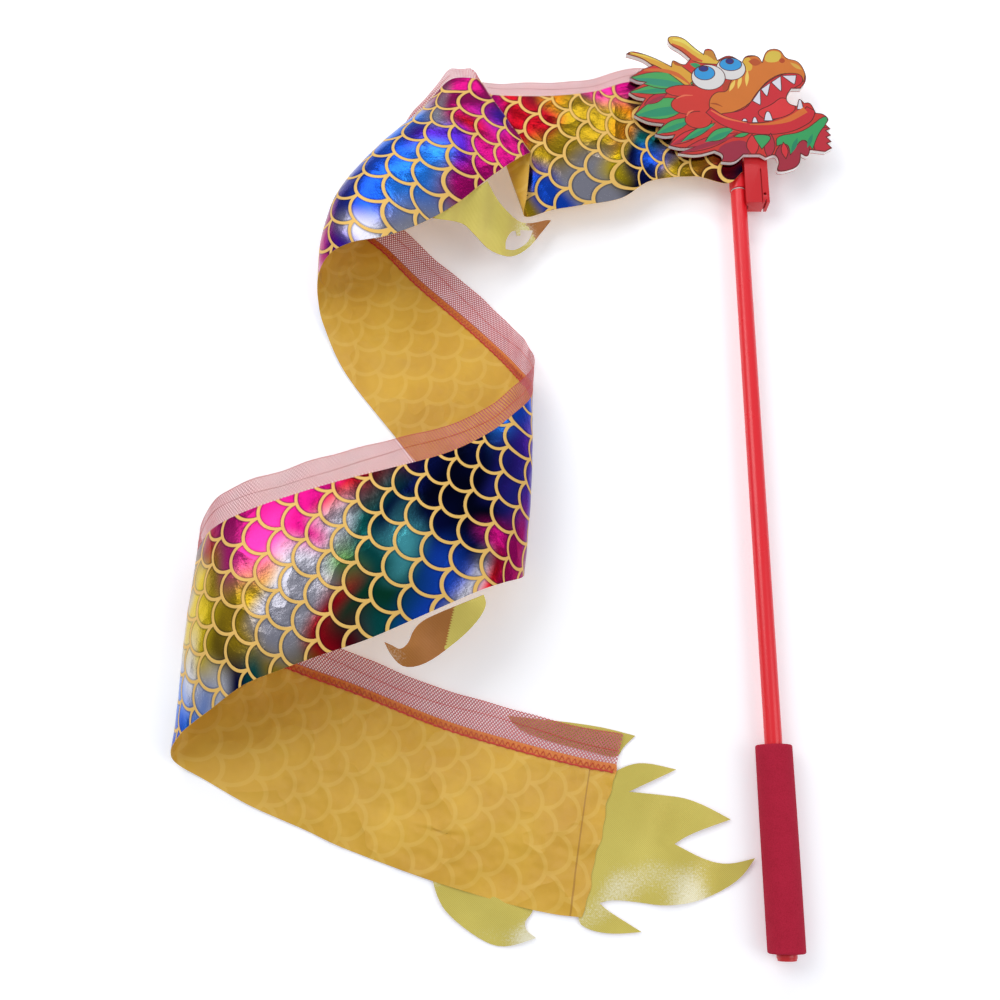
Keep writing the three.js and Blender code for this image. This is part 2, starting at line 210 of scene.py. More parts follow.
def scale_group():
    """Overlapping round scales on a flat map in metres: U runs to the tail, V across the ribbon.

    Row k has circles of one radius centred a radius further along than the last row, shifted by
    half a scale. A point takes the distance to its own row's circle and to the row before's."""
    group, start, end = new_group(
        "fish_scales", [("Map", "NodeSocketVector"), ("Radius", "NodeSocketFloat"),
                        ("Line", "NodeSocketFloat")], ["Line mask", "Rim shade"])
    split = group.nodes.new("ShaderNodeSeparateXYZ")
    group.links.new(start.outputs["Map"], split.inputs[0])
    radius = start.outputs["Radius"]
    along = calc(group, "DIVIDE", split.outputs["X"], radius)
    across = calc(group, "DIVIDE", split.outputs["Y"], radius)
    row = calc(group, "FLOOR", along)
    ring = []
    for back in (0, 1):
        this = calc(group, "SUBTRACT", row, back)
        depth = calc(group, "SUBTRACT", along, this)
        shift = calc(group, "FLOORED_MODULO", this, 2.0)
        side = calc(group, "SUBTRACT", across, shift)
        side = calc(group, "SUBTRACT", calc(group, "FLOORED_MODULO",
                                            calc(group, "ADD", side, 1.0), 2.0), 1.0)
        square = calc(group, "ADD", calc(group, "POWER", depth, 2.0),
                      calc(group, "MULTIPLY", side, side))
        ring.append(calc(group, "SUBTRACT", calc(group, "SQRT", square), 1.0))
    nearest = calc(group, "MINIMUM", calc(group, "ABSOLUTE", ring[0]),
                   calc(group, "ABSOLUTE", ring[1]))
    width = calc(group, "DIVIDE", start.outputs["Line"], radius)
    for label, inner, outer in (("Line mask", 0.42, 0.58), ("Rim shade", 0.5, 1.3)):
        edge = ramp(group, nearest, calc(group, "MULTIPLY", width, inner),
                    calc(group, "MULTIPLY", width, outer), smooth=True, falling=True)
        group.links.new(edge, end.inputs[label])
    return group


def weave_group():
    """Crossed threads on a map in metres: two sine waves at a slant, multiplied and added."""
    group, start, end = new_group(
        "crossed_threads", [("Map", "NodeSocketVector"), ("Pitch", "NodeSocketFloat"),
                            ("Slant", "NodeSocketFloat")], ["Warp", "Weft"])
    split = group.nodes.new("ShaderNodeSeparateXYZ")
    group.links.new(start.outputs["Map"], split.inputs[0])
    turn = calc(group, "DIVIDE", 2 * math.pi, start.outputs["Pitch"])
    lean = calc(group, "MULTIPLY", split.outputs["Y"], start.outputs["Slant"])
    for label, sign in (("Warp", "ADD"), ("Weft", "SUBTRACT")):
        way = calc(group, sign, split.outputs["X"], lean)
        wave = calc(group, "SINE", calc(group, "MULTIPLY", way, turn))
        group.links.new(calc(group, "MULTIPLY_ADD", wave, 0.5, 0.5), end.inputs[label])
    return group


SCALES = scale_group()
THREADS = weave_group()


def use_group(tree, group, vector, **values):
    """A node of a group, fed with a map and with constants by name."""
    node = tree.nodes.new("ShaderNodeGroup")
    node.node_tree = group
    tree.links.new(vector, node.inputs["Map"])
    for label, value in values.items():
        node.inputs[label].default_value = value
    return node


def uv_socket(tree):
    """The flat map of a cloth piece, in metres."""
    node = tree.nodes.new("ShaderNodeUVMap")
    node.uv_map = "flat"
    return node.outputs["UV"]


def object_socket(tree):
    """Places in the piece's own coordinates."""
    return tree.nodes.new("ShaderNodeTexCoord").outputs["Object"]


# ---- the stick: end cap, tube and foam grip ----
# A glossy red moulded tube with a push-in cap at the butt and a push-on sleeve of fine-celled
# foam. All three are turned shapes about the Y axis.
AROUND = 96


def turned(name, profile, material, closed=False):
    """A turned piece about the Y axis from (radius, y) points in mm, carried round in AROUND
    steps. The profile ends on the axis, or closes on itself for a sleeve."""
    profile = np.array(profile, float) * MM
    angle = np.linspace(0, 2 * np.pi, AROUND, endpoint=False)
    radius, height = profile[:, 0][:, None], profile[:, 1][:, None]
    points = np.stack([radius * np.sin(angle), height + 0 * angle, radius * np.cos(angle)], -1)
    count = len(profile)
    rows = np.arange(count if closed else count - 1)
    i, j = np.meshgrid(rows, np.arange(AROUND), indexing="ij")
    below, above = i * AROUND, (i + 1) % count * AROUND
    nxt = (j + 1) % AROUND
    faces = np.stack([below + j, above + j, above + nxt, below + nxt], -1).reshape(-1, 4)
    piece = put_mesh(name, points.reshape(-1, 3), faces.tolist(), material)
    work = bmesh.new()
    work.from_mesh(piece.data)
    bmesh.ops.remove_doubles(work, verts=work.verts, dist=1e-7)
    bmesh.ops.recalc_face_normals(work, faces=work.faces)
    work.to_mesh(piece.data)
    work.free()
    piece.data.shade_smooth()
    piece.data.set_sharp_from_angle(angle=math.radians(40))
    return piece


def rounded_step(r, y, size, side):
    """Points of a small round at a profile's corner; side is +1 before the corner's face in y
    and -1 after it."""
    turn = np.linspace(0, np.pi / 2, 5)
    if side > 0:
        return [(r - size + size * math.sin(t), y + size - size * math.cos(t)) for t in turn]
    return [(r - size + size * math.cos(t), y - size + size * math.sin(t)) for t in turn]


def moulded(name, colour, roughness, grain=0.15):
    """Moulded plastic: faint unevenness in colour and gloss, and a very fine skin."""
    material, tree, shader = plain_material(name, colour, roughness)
    place = object_socket(tree)
    broad = noise(tree, place, 60, 2)
    tree.links.new(mixed(tree, calc(tree, "MULTIPLY", broad, 0.25), srgb(colour),
                         [c * 0.72 for c in srgb(colour)[:3]] + [1]), shader.inputs["Base Color"])
    tree.links.new(calc(tree, "MULTIPLY_ADD", broad, 0.12, roughness - 0.05),
                   shader.inputs["Roughness"])
    bumped(tree, shader, noise(tree, place, 900, 2), grain, 0.00005)
    return material


TUBE_RED = moulded("tube_red", "E8202A", 0.28)
MOULDING_RED = moulded("moulding_red", "CC1C22", 0.34, 0.25)
low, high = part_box("pole_tube")
TUBE_R = high[0] / MM
TUBE_Y = (low[1] / MM, high[1] / MM)
tube = turned("tube", [
    (4.0, TUBE_Y[0]), *rounded_step(TUBE_R, TUBE_Y[0], 0.3, 1),
    *rounded_step(TUBE_R, TUBE_Y[1], 0.3, -1), (4.0, TUBE_Y[1])], TUBE_RED, closed=True)
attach(tube, "stick")
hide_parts("pole_tube")

cap = turned("butt_cap", [
    (0, 0), *rounded_step(5.5, 0, 0.5, 1), (5.5, 1.25), (5.75, 1.35), (5.9, 1.7),
    *rounded_step(5.9, 3.6, 0.2, -1), (3.65, 3.6), (3.65, 13), (2.9, 14), (0, 14)], MOULDING_RED)
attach(cap, "stick")
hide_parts("end_cap")


def foam_material():
    """Fine-celled foam: speckled pits and a matt skin."""
    material, tree, shader = plain_material("grip_foam", "B42038", 0.9)
    place = object_socket(tree)
    cells = tree.nodes.new("ShaderNodeTexVoronoi")
    cells.inputs["Scale"].default_value = 1500
    tree.links.new(place, cells.inputs["Vector"])
    pits = cells.outputs["Distance"]
    patch = noise(tree, place, 120, 3)
    tone = calc(tree, "MULTIPLY_ADD", pits, 0.5, calc(tree, "MULTIPLY", patch, 0.35))
    tree.links.new(mixed(tree, tone, srgb("BE2440"), srgb("941428")),
                   shader.inputs["Base Color"])
    shader.inputs["Specular IOR Level"].default_value = 0.2
    bumped(tree, shader, calc(tree, "ADD", pits, patch), 0.5, 0.0002)
    return material


low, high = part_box("grip_sleeve")
GRIP_R = high[0] / MM
GRIP_Y = (low[1] / MM, high[1] / MM)
belly = [(GRIP_R - 0.12 + 0.12 * math.sin(t * math.pi),
          GRIP_Y[0] + 1.2 + t * (GRIP_Y[1] - GRIP_Y[0] - 2.4))
         for t in np.linspace(0.02, 0.98, 24)]
grip = turned("foam_grip", [
    (TUBE_R + 0.35, GRIP_Y[0]), *rounded_step(GRIP_R - 0.12, GRIP_Y[0], 1.2, 1), *belly,
    *rounded_step(GRIP_R - 0.12, GRIP_Y[1], 1.2, -1), (TUBE_R + 0.35, GRIP_Y[1])],
    foam_material(), closed=True)
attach(grip, "stick")
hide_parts("grip_sleeve")

# ---- the swivel: plug, pin, washer, collar and collar cap ----
# The head turns on a plated pin pressed into a plug in the tube's end. The collar is a moulded
# cup with a pushed-in cap.
collar_low, collar_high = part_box("swivel_collar")
COLLAR_R = collar_high[0] / MM
COLLAR_Y = (collar_low[1] / MM, collar_high[1] / MM)
collar = turned("collar", [
    (1.85, COLLAR_Y[0]), *rounded_step(COLLAR_R, COLLAR_Y[0], 0.4, 1),
    *rounded_step(COLLAR_R, COLLAR_Y[1], 0.4, -1), (4.2, COLLAR_Y[1]),
    (4.2, COLLAR_Y[0] + 4.4), (1.85, COLLAR_Y[0] + 4.4)], TUBE_RED, closed=True)
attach(collar, "head")
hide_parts("swivel_collar")


def plated_material():
    """Nickel-plated steel with fine scratches."""
    material, tree, shader = plain_material("plated_steel", "C4C7CC", 0.28, 1.0)
    scratch = noise(tree, object_socket(tree), 400, 4)
    tree.links.new(calc(tree, "MULTIPLY_ADD", scratch, 0.25, 0.18), shader.inputs["Roughness"])
    return material


CAD_FINISH = {
    "swivel_pin": plated_material(),
    "swivel_washer": moulded("washer_nylon", "E6E4DC", 0.45),
    "top_plug": MOULDING_RED,
    "collar_cap": MOULDING_RED,
}
for node, material in CAD_FINISH.items():
    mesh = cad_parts[node].data
    mesh.materials.clear()
    mesh.materials.append(material)


# ---- the bracket ----
# One moulding beside the collar, open at the front, with an eye near its foot. It is the frame's
# own shape with its edges softened.
def softened(name, node, width, material):
    """A copy of a frame piece, its triangles merged into flat faces and its edges rounded."""
    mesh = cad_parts[node].data.copy()
    mesh.name = name
    work = bmesh.new()
    work.from_mesh(mesh)
    bmesh.ops.remove_doubles(work, verts=work.verts, dist=1e-6)
    bmesh.ops.dissolve_limit(work, angle_limit=math.radians(1), verts=work.verts,
                             edges=work.edges)
    bmesh.ops.recalc_face_normals(work, faces=work.faces)
    sharp = [e for e in work.edges if len(e.link_faces) == 2
             and e.calc_face_angle() > math.radians(35)]
    bmesh.ops.bevel(work, geom=sharp, offset=width, segments=3, affect="EDGES",
                    clamp_overlap=True, profile=0.5)
    work.to_mesh(mesh)
    work.free()
    mesh.materials.clear()
    mesh.materials.append(material)
    mesh.shade_smooth()
    mesh.set_sharp_from_angle(angle=math.radians(45))
    piece = bpy.data.objects.new(name, mesh)
    bpy.context.collection.objects.link(piece)
    return piece


bracket = softened("bracket", "head_bracket", 0.00025, MOULDING_RED)
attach(bracket, "head")
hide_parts("head_bracket")

# ---- the ribbon's shape ----
# One strip of cloth, foil-printed on its face and plain satin on its back. It leaves the head,
# takes a pleat, and is laid in three folds. Each station is a straight line across the strip in
# mm: its end on the netted edge, its end on the claw edge, and how far its middle bows out.
STATIONS = np.array([
    [[3, 557, 7.2], [2.2, 504, 7.3], [0, 0, 0]],
    [[-13, 567, 6.9], [-9, 495, 7.2], [0, 0, 0]],
    [[-43, 574, 6.6], [-31, 501, 6.6], [0, 0, 0]],
    [[-73, 575, 7.4], [-60, 497, 7.4], [0, 0, 0]],
    [[-97, 565, 11], [-82, 482, 10], [0, 0, 3]],
    [[-125, 560, 13], [-111, 476, 11], [0, 0, 4]],
    [[-153, 559, 14], [-129, 473, 10], [0, 0, 3]],
    [[-170, 561, 13], [-143, 468, 10], [0, 0, 1]],
    [[-176, 561, 16], [-147, 469, 13], [0, 0, 0]],
    [[-176, 562, 19], [-145, 481, 17], [0, 0, 0]],
    [[-175, 563, 22], [-143, 504, 21], [0, 0, 0]],
    [[-180, 565, 25], [-144, 507, 25], [0, 0, 0]],
    [[-196, 563, 27], [-168, 486, 32], [-4, 2, 4]],
    [[-209, 550, 25], [-191, 461, 39], [-7, 6, 8]],
    [[-226, 533, 18], [-213, 445, 43], [-13, 10, 11]],
    [[-240, 517, 8], [-236, 436, 42], [-15, 10, 13]],
    [[-252, 500, -2], [-258, 434, 37], [-15, 8, 11]],
    [[-258, 485, -7], [-273, 431, 28], [-12, 4, 6]],
    [[-258, 475, -9], [-282, 424, 14], [-9, 0, 2]],
    [[-254, 467, -9.8], [-284, 412, 0], [-4, 0, 0]],
    [[-239, 454, -10], [-280, 395, -7], [0, 0, 0]],
    [[-216, 430, -10], [-265, 363, -10], [0, 0, 2]],
    [[-183, 400, -10], [-233, 321, -10], [0, 0, 3]],
    [[-160, 377, -9], [-201, 281, -10], [0, 0, 3]],
    [[-149, 363, -5], [-177, 249, -9], [0, 0, 3]],
    [[-144, 354, 2], [-161, 234, -5], [1, 0, 2]],
    [[-142, 343, 12], [-149, 225, 7], [0, 0, 0]],
    [[-145, 331, 24], [-150, 218, 22], [3, 0, 3]],
    [[-154, 319, 33], [-161, 212, 34], [1, 0, 5]],
    [[-169, 304, 40], [-176, 205, 42], [0, 0, 4]],
    [[-194, 289, 46], [-203, 192, 46], [0, 0, 4]],
    [[-226, 279, 48], [-238, 176, 48], [0, 0, 4]],
    [[-255, 271, 49], [-264, 167, 48], [0, 0, 4]],
    [[-285, 262, 48], [-287, 159, 46], [-1, 0, 4]],
    [[-314, 253, 43], [-308, 151, 42], [-2, 0, 4]],
    [[-334, 246, 33], [-328, 139, 32], [-3, 0, 3]],
    [[-345, 240, 18], [-347, 128, 18], [-3, 0, 1]],
    [[-351, 233, 4], [-358, 117, 4], [0, 0, 0]],
    [[-349, 221, -6], [-356, 110, -6], [-1, 0, 0]],
    [[-340, 204, -9.6], [-340, 101, -9.6], [0, 0, 1]],
    [[-318, 184, -9.6], [-312, 86, -9.6], [0, 0, 2]],
    [[-286, 170, -9.6], [-281, 73, -9.6], [0, 0, 3]],
    [[-252, 158, -9.6], [-251, 60, -9.6], [0, 0, 4]],
    [[-199, 137, -9.4], [-202, 43, -9.4], [0, 0, 4]],
    [[-155, 124, -9.2], [-160, 31, -9.2], [0, 0, 3]],
    [[-115, 114, -9], [-133, 25, -9], [0, 0, 2]],
    [[-93, 110, -9], [-115, 23, -9], [0, 0, 0]],
]) * MM
LAST = len(STATIONS) - 1


def through(points, s):
    """A smooth curve through the points, where s counts them: on each span the usual cubic whose
    slope at a point is half the step between its neighbours."""
    ends = np.concatenate([[2 * points[0] - points[1]], points, [2 * points[-1] - points[-2]]])
    i = np.clip(np.floor(s).astype(int), 0, len(points) - 2)
    t = (s - i).reshape(s.shape + (1,) * (points.ndim - 1))
    a, b, c, d = ends[i], ends[i + 1], ends[i + 2], ends[i + 3]
    return 0.5 * (2 * b + (c - a) * t + (2 * a - 5 * b + 4 * c - d) * t ** 2
                  + (3 * b - a - 3 * c + d) * t ** 3)


def cloth(s, v):
    """Points of the ribbon for arrays s along it and v across it: a straight line between its two
    edges, bowed by a parabola."""
    net_end, claw_end, bow = np.moveaxis(through(STATIONS, s), -2, 0)
    v = v[..., None]
    return net_end * (1 - v) + claw_end * v + bow * 4 * v * (1 - v)


# The strip rolled out flat: how far along its middle each station lies, how wide the strip is
# there, and how much further on the claw edge is than the netted edge.
FINE_S = np.linspace(0, LAST, LAST * 40 + 1)
fine_mid = cloth(FINE_S, np.full_like(FINE_S, 0.5))
fine_across = cloth(FINE_S, np.ones_like(FINE_S)) - cloth(FINE_S, np.zeros_like(FINE_S))
heading = np.gradient(fine_mid, axis=0)
heading /= np.linalg.norm(heading, axis=1, keepdims=True)
kernel = np.hanning(61) / np.hanning(61).sum()
skew = np.convolve(np.pad((fine_across * heading).sum(1), 30, mode="edge"), kernel, "valid")
FLAT_WIDTH = np.sqrt(np.maximum((fine_across ** 2).sum(1) - skew ** 2, 0.05 ** 2))
FLAT_WIDTH = np.convolve(np.pad(FLAT_WIDTH, 30, mode="edge"), kernel, "valid")
FLAT_ALONG = np.cumsum(np.r_[0, np.linalg.norm(np.diff(fine_mid, axis=0), axis=1)])


def flat_map(s, v):
    """Where a point of the cloth lies on the strip rolled out flat, in metres."""
    along = np.interp(s, FINE_S, FLAT_ALONG) + (v - 0.5) * np.interp(s, FINE_S, skew)
    return np.stack([along, (v - 0.5) * np.interp(s, FINE_S, FLAT_WIDTH)], -1)


def surface_normals(points):
    """Unit normals of a grid of points, towards the foil face."""
    along = np.gradient(points, axis=0)
    across = np.gradient(points, axis=1)
    normal = np.cross(along, across)
    length = np.linalg.norm(normal, axis=2, keepdims=True)
    return normal / np.maximum(length, 1e-12)


def crinkle(flat, v):
    """Soft creases in the laid cloth: a few slanted waves of different lengths on the flat map.
    The seam holds the netted edge still."""
    x, y = flat[..., 0] * 1000, flat[..., 1] * 1000
    calm = np.clip((v - 0.05) / 0.15, 0, 1)
    edge = (0.5 + 0.5 * np.abs(y / 47)) * calm * calm * (3 - 2 * calm)
    waves = 0.55 * np.sin(x / 17 + y / 23 + 1.7 * np.sin(x / 61))
    waves += 0.35 * np.sin(x / 9.5 - y / 14 + 1.3 * np.sin(y / 19))
    waves += 0.16 * np.sin(x / 4.1 + y / 6.3 + 2.2 * np.sin(x / 23))
    return waves * edge * MM


def two_sided(name, top, bottom, flat, materials, tint=None):
    """A closed thin sheet from two grids: faces of the top take the first material, the bottom and
    the rim the second. The flat map goes to the UV map, and the tint to a colour attribute."""
    n, m = top.shape[:2]
    i, j = np.meshgrid(np.arange(n - 1), np.arange(m - 1), indexing="ij")
    a = (i * m + j).ravel()
    upper = np.stack([a, a + m, a + m + 1, a + 1], -1)
    lower = upper[:, ::-1] + n * m
    rim = np.r_[np.arange(m), np.arange(1, n) * m + m - 1,
                (n - 1) * m + np.arange(m - 2, -1, -1), np.arange(n - 2, 0, -1) * m]
    nxt = np.roll(rim, -1)
    side = np.stack([rim, nxt, nxt + n * m, rim + n * m], -1)
    faces = np.concatenate([upper, lower, side])
    points = np.concatenate([top.reshape(-1, 3), bottom.reshape(-1, 3)])
    piece = put_mesh(name, points, faces.tolist(), materials)
    mesh = piece.data
    slots = np.zeros(len(faces), int)
    slots[len(upper):] = len(materials) - 1
    mesh.polygons.foreach_set("material_index", slots)
    paint(mesh, np.concatenate([flat.reshape(-1, 2)] * 2),
          None if tint is None else np.concatenate([tint.reshape(-1, 4)] * 2))
    return piece


def paint(mesh, flat, tint=None):
    """Writes a UV map named flat, and a colour attribute named tint, from per-point arrays."""
    layer = mesh.uv_layers.new(name="flat")
    corner = np.empty(len(mesh.loops), np.int32)
    mesh.loops.foreach_get("vertex_index", corner)
    layer.data.foreach_set("uv", flat[corner].astype(np.float32).ravel())
    if tint is not None:
        colours = mesh.color_attributes.new("tint", "FLOAT_COLOR", "POINT")
        colours.data.foreach_set("color", tint.astype(np.float32).ravel())


# ---- the foil's colours ----
# The foil is a rainbow transfer: colour drifts along and across it and has nothing to do with the
# scales printed over it. Each row is a station and the colours from the netted to the claw edge.
# The rows also hold painted reflections: the white, silver and ice streaks are painted highlights
# on the foil's crinkles, and some navy and ink stand for painted dark reflections on flat foil.
PALETTE = {
    "crimson": "AE0E1E", "maroon": "5E0A18", "red": "C41822", "magenta": "AC1068",
    "pink": "D02C84", "rose": "F4A8D0", "violet": "4A20A8", "indigo": "2A2A8C",
    "navy": "0A1244", "ink": "060A20", "blue": "1C52D0", "azure": "2C84F0", "sky": "7CC0FA",
    "cyan": "5CC4CC", "teal": "0E5A56", "green": "0E4A34", "jade": "5C8848", "gold": "AC8C1C",
    "yellow": "ECCB18", "olive": "80691A", "umber": "4A3812", "orange": "C87410",
    "silver": "A8A6B0", "white": "DCDCE4", "lilac": "B8A0CC", "ice": "CCE6FA",
}
FOIL_DEPTH = 0.8        # the transfer is this much darker than its colours
FOIL_ROWS_WITH_PAINTED_GLINTS = [
    (0, "maroon crimson maroon crimson ink"),
    (1.2, "gold orange crimson crimson maroon"),
    (2.2, "green teal gold gold gold"),
    (2.8, "magenta green teal blue navy"),
    (3.2, "magenta orange teal navy navy"),
    (3.7, "pink gold orange yellow ink"),
    (4.3, "umber gold gold silver silver"),
    (5.0, "orange gold gold silver silver"),
    (5.6, "maroon crimson gold blue blue"),
    (6.3, "crimson crimson crimson blue blue"),
    (7.0, "magenta crimson crimson gold gold"),
    (8.5, "orange orange orange orange orange"),
    (11, "magenta magenta violet magenta magenta"),
    (12, "magenta magenta crimson magenta magenta"),
    (12.6, "magenta silver violet violet magenta"),
    (13.3, "silver azure violet azure silver"),
    (14.0, "silver azure blue azure silver"),
    (14.8, "crimson azure blue blue silver"),
    (15.6, "violet blue indigo indigo silver"),
    (16.4, "indigo blue indigo magenta violet"),
    (17.2, "blue violet magenta pink magenta"),
    (18.0, "silver lilac pink pink rose"),
    (18.8, "blue ice white rose pink"),
    (19.6, "indigo blue blue azure blue"),
    (21, "gold crimson magenta violet blue"),
    (23, "teal blue violet magenta gold"),
    (25.2, "magenta violet indigo magenta magenta"),
    (26.6, "blue violet violet violet magenta"),
    (27.6, "blue violet indigo magenta magenta"),
    (28.6, "azure indigo ink magenta crimson"),
    (29.3, "navy ink ink navy silver"),
    (30.0, "ink ink navy blue blue"),
    (30.7, "navy navy cyan green teal"),
    (31.3, "maroon teal teal green maroon"),
    (31.9, "crimson silver jade crimson crimson"),
    (32.5, "magenta magenta silver silver olive"),
    (33.2, "magenta pink silver silver gold"),
    (33.8, "magenta pink gold gold teal"),
    (34.4, "magenta pink gold olive navy"),
    (35.0, "crimson gold yellow yellow white"),
    (35.7, "maroon yellow yellow white azure"),
    (36.5, "umber gold white azure blue"),
    (37.3, "crimson red white azure blue"),
    (39, "blue magenta crimson gold gold"),
    (41, "violet blue teal gold crimson"),
    (43, "magenta gold orange navy blue"),
    (46, "gold crimson violet blue magenta"),
]


def foil_tint_with_painted_glints(s, v, flat):
    """The foil's colour at points of the cloth, with its painted highlights and painted dark
    reflections, drifting from row to row, with its borders pushed about by slow waves. The fourth
    number is the place across the cloth."""
    v_plain = v
    x, y = flat[..., 0] * 1000, flat[..., 1] * 1000
    s = s + 0.22 * np.sin(y / 11 + x / 37) + 0.1 * np.sin(y / 5.3 - x / 19)
    v = np.clip(v + 0.05 * np.sin(x / 13 + y / 29) + 0.03 * np.sin(x / 5.7), 0, 1)
    stations = np.array([row[0] for row in FOIL_ROWS_WITH_PAINTED_GLINTS])
    colours = np.array([[srgb(PALETTE[c])[:3] for c in row[1].split()] for row in FOIL_ROWS_WITH_PAINTED_GLINTS])
    place = np.interp(s, stations, np.arange(len(stations)))
    i = np.clip(np.floor(place).astype(int), 0, len(stations) - 2)
    t = place - i
    t = (t * t * (3 - 2 * t))[..., None]
    column = v * 4
    j = np.clip(np.floor(column).astype(int), 0, 3)
    u = column - j
    u = (u * u * (3 - 2 * u))[..., None]
    near = colours[i, j] * (1 - u) + colours[i, j + 1] * u
    far = colours[i + 1, j] * (1 - u) + colours[i + 1, j + 1] * u
    colour = (near * (1 - t) + far * t) * FOIL_DEPTH
    return np.concatenate([colour, v_plain[..., None]], -1)


def printed_scales(tree, place, line):
    """The scale print on a flat map, turned a little on the strip, with lines of a given width."""
    turned_map = tree.nodes.new("ShaderNodeMapping")
    turned_map.inputs["Rotation"].default_value = (0, 0, math.radians(SCALE_TURN))
    tree.links.new(place, turned_map.inputs["Vector"])
    return use_group(tree, SCALES, turned_map.outputs[0], Radius=SCALE_R, Line=line)


def foil_material():
    """Rainbow foil on cloth: a bright metal tinted by the transfer, brushed and crinkled finely,
    with matt pale-gold scale lines printed over it and a dark edge inside each line."""
    material, tree, shader = plain_material("rainbow_foil", "BC9A1C", 0.22, 1.0)
    place = uv_socket(tree)
    scales = printed_scales(tree, place, LINE)
    # The tint attribute carries the transfer's colours together with painted highlights and painted
    # dark reflections.
    tint = tree.nodes.new("ShaderNodeAttribute")
    tint.attribute_name = "tint"
    dark = calc(tree, "MULTIPLY", scales.outputs["Rim shade"], 0.55)
    deep = mixed(tree, dark, tint.outputs["Color"], (0.004, 0.003, 0.012, 1))
    mask = scales.outputs["Line mask"]
    tree.links.new(mixed(tree, mask, deep, srgb("E2B55C")), shader.inputs["Base Color"])
    tree.links.new(calc(tree, "MULTIPLY_ADD", mask, -0.75, 1.0), shader.inputs["Metallic"])
    brush = noise(tree, place, 700, 3, 0.6)
    tree.links.new(calc(tree, "ADD", calc(tree, "MULTIPLY_ADD", brush, 0.2, 0.14),
                        calc(tree, "MULTIPLY", mask, 0.28)), shader.inputs["Roughness"])
    dents = noise(tree, place, 85, 4, 0.6)
    fold = calc(tree, "ABSOLUTE", calc(tree, "SUBTRACT", noise(tree, place, 30, 2, 0.4), 0.5))
    height = calc(tree, "ADD",
                  calc(tree, "MULTIPLY_ADD", fold, -9, calc(tree, "MULTIPLY", dents, 1.4)),
                  calc(tree, "MULTIPLY_ADD", brush, 0.10, calc(tree, "MULTIPLY", mask, 0.35)))
    bumped(tree, shader, height, 0.6, 0.0006)
    return material


def satin_back_material():
    """The ribbon's plain side: yellow satin with fine crosswise threads, the scale lines of the
    print showing through faintly, and a painted shade line along the edge of the turned-in end."""
    material, tree, shader = plain_material("ribbon_satin", "DDAA28", 0.42)
    place = uv_socket(tree)
    scales = printed_scales(tree, place, LINE * 1.3)
    patch = noise(tree, place, 26, 4, 0.6)
    across = tree.nodes.new("ShaderNodeAttribute")
    across.attribute_name = "tint"
    band = ramp(tree, across.outputs["Alpha"], 0.07, 0.045)
    cloth_tone = mixed(tree, patch, srgb("C48A08"), srgb("EABC38"))
    show = calc(tree, "MULTIPLY", scales.outputs["Line mask"], 0.3)
    split = tree.nodes.new("ShaderNodeSeparateXYZ")
    tree.links.new(place, split.inputs[0])
    # A painted shade line along the edge of the turned-in end, HEM short of the ribbon's end.
    hem_shade_line = calc(tree, "COMPARE", split.outputs["X"], float(FLAT_ALONG[-1]) - HEM, 0.0005)
    plain = mixed(tree, show, cloth_tone, srgb("EAC45C"))
    plain = mixed(tree, calc(tree, "MULTIPLY", hem_shade_line, 0.6), plain, srgb("9C6408"))
    tree.links.new(mixed(tree, calc(tree, "MULTIPLY", band, 0.75), plain,
                         srgb("D85A10")), shader.inputs["Base Color"])
    threads = use_group(tree, THREADS, place, Pitch=0.0006, Slant=0.35)
    tree.links.new(calc(tree, "MULTIPLY_ADD", patch, 0.2, 0.32), shader.inputs["Roughness"])
    shader.inputs["Sheen Weight"].default_value = 0.2
    fold = calc(tree, "ABSOLUTE", calc(tree, "SUBTRACT", noise(tree, place, 18, 3, 0.5), 0.5))
    height = calc(tree, "ADD", calc(tree, "MULTIPLY", threads.outputs["Warp"], 0.08),
                  calc(tree, "MULTIPLY_ADD", fold, -12, noise(tree, place, 40, 3)))
    bumped(tree, shader, height, 0.85, 0.0013)
    return material


HEM = 0.012             # how far the ribbon's end is turned in
SCALE_R = 0.0117        # radius of one printed scale on the flat strip
LINE = 0.0019           # width of the printed gold line
SCALE_TURN = -3         # degrees that the print is turned on the strip
FOIL = foil_material()
BACK = satin_back_material()
CLOTH_THICK = 0.0004
END_WAVE = 0.0007       # how far the tail end of the ribbon wanders from a straight cut
CRINKLE_SHARE = 0.8     # how much of the full crinkle this cloth has
LYING = -0.006          # cloth below this height rests on the table and crinkles upwards only
CLEAR = 0.0005          # least height of the cloth over the table

# Each piece runs from the middle of one strand to the middle of the next, so that every fold lies
# well inside a piece.
RIBBON_PIECES = [
    ("ribbon_front", 0, 22.5, "head", "strand_2", "ribbon_1", (0.004, -0.0095)),
    ("ribbon_middle", 22.5, 32, "strand_2", "strand_3", "ribbon_2", (-0.004, 0.026)),
    ("ribbon_rear", 32, LAST, "strand_3", "strand_4", "ribbon_3", (0.024, -0.006)),
]
ACROSS = 77
STEPS = 17              # rows per station


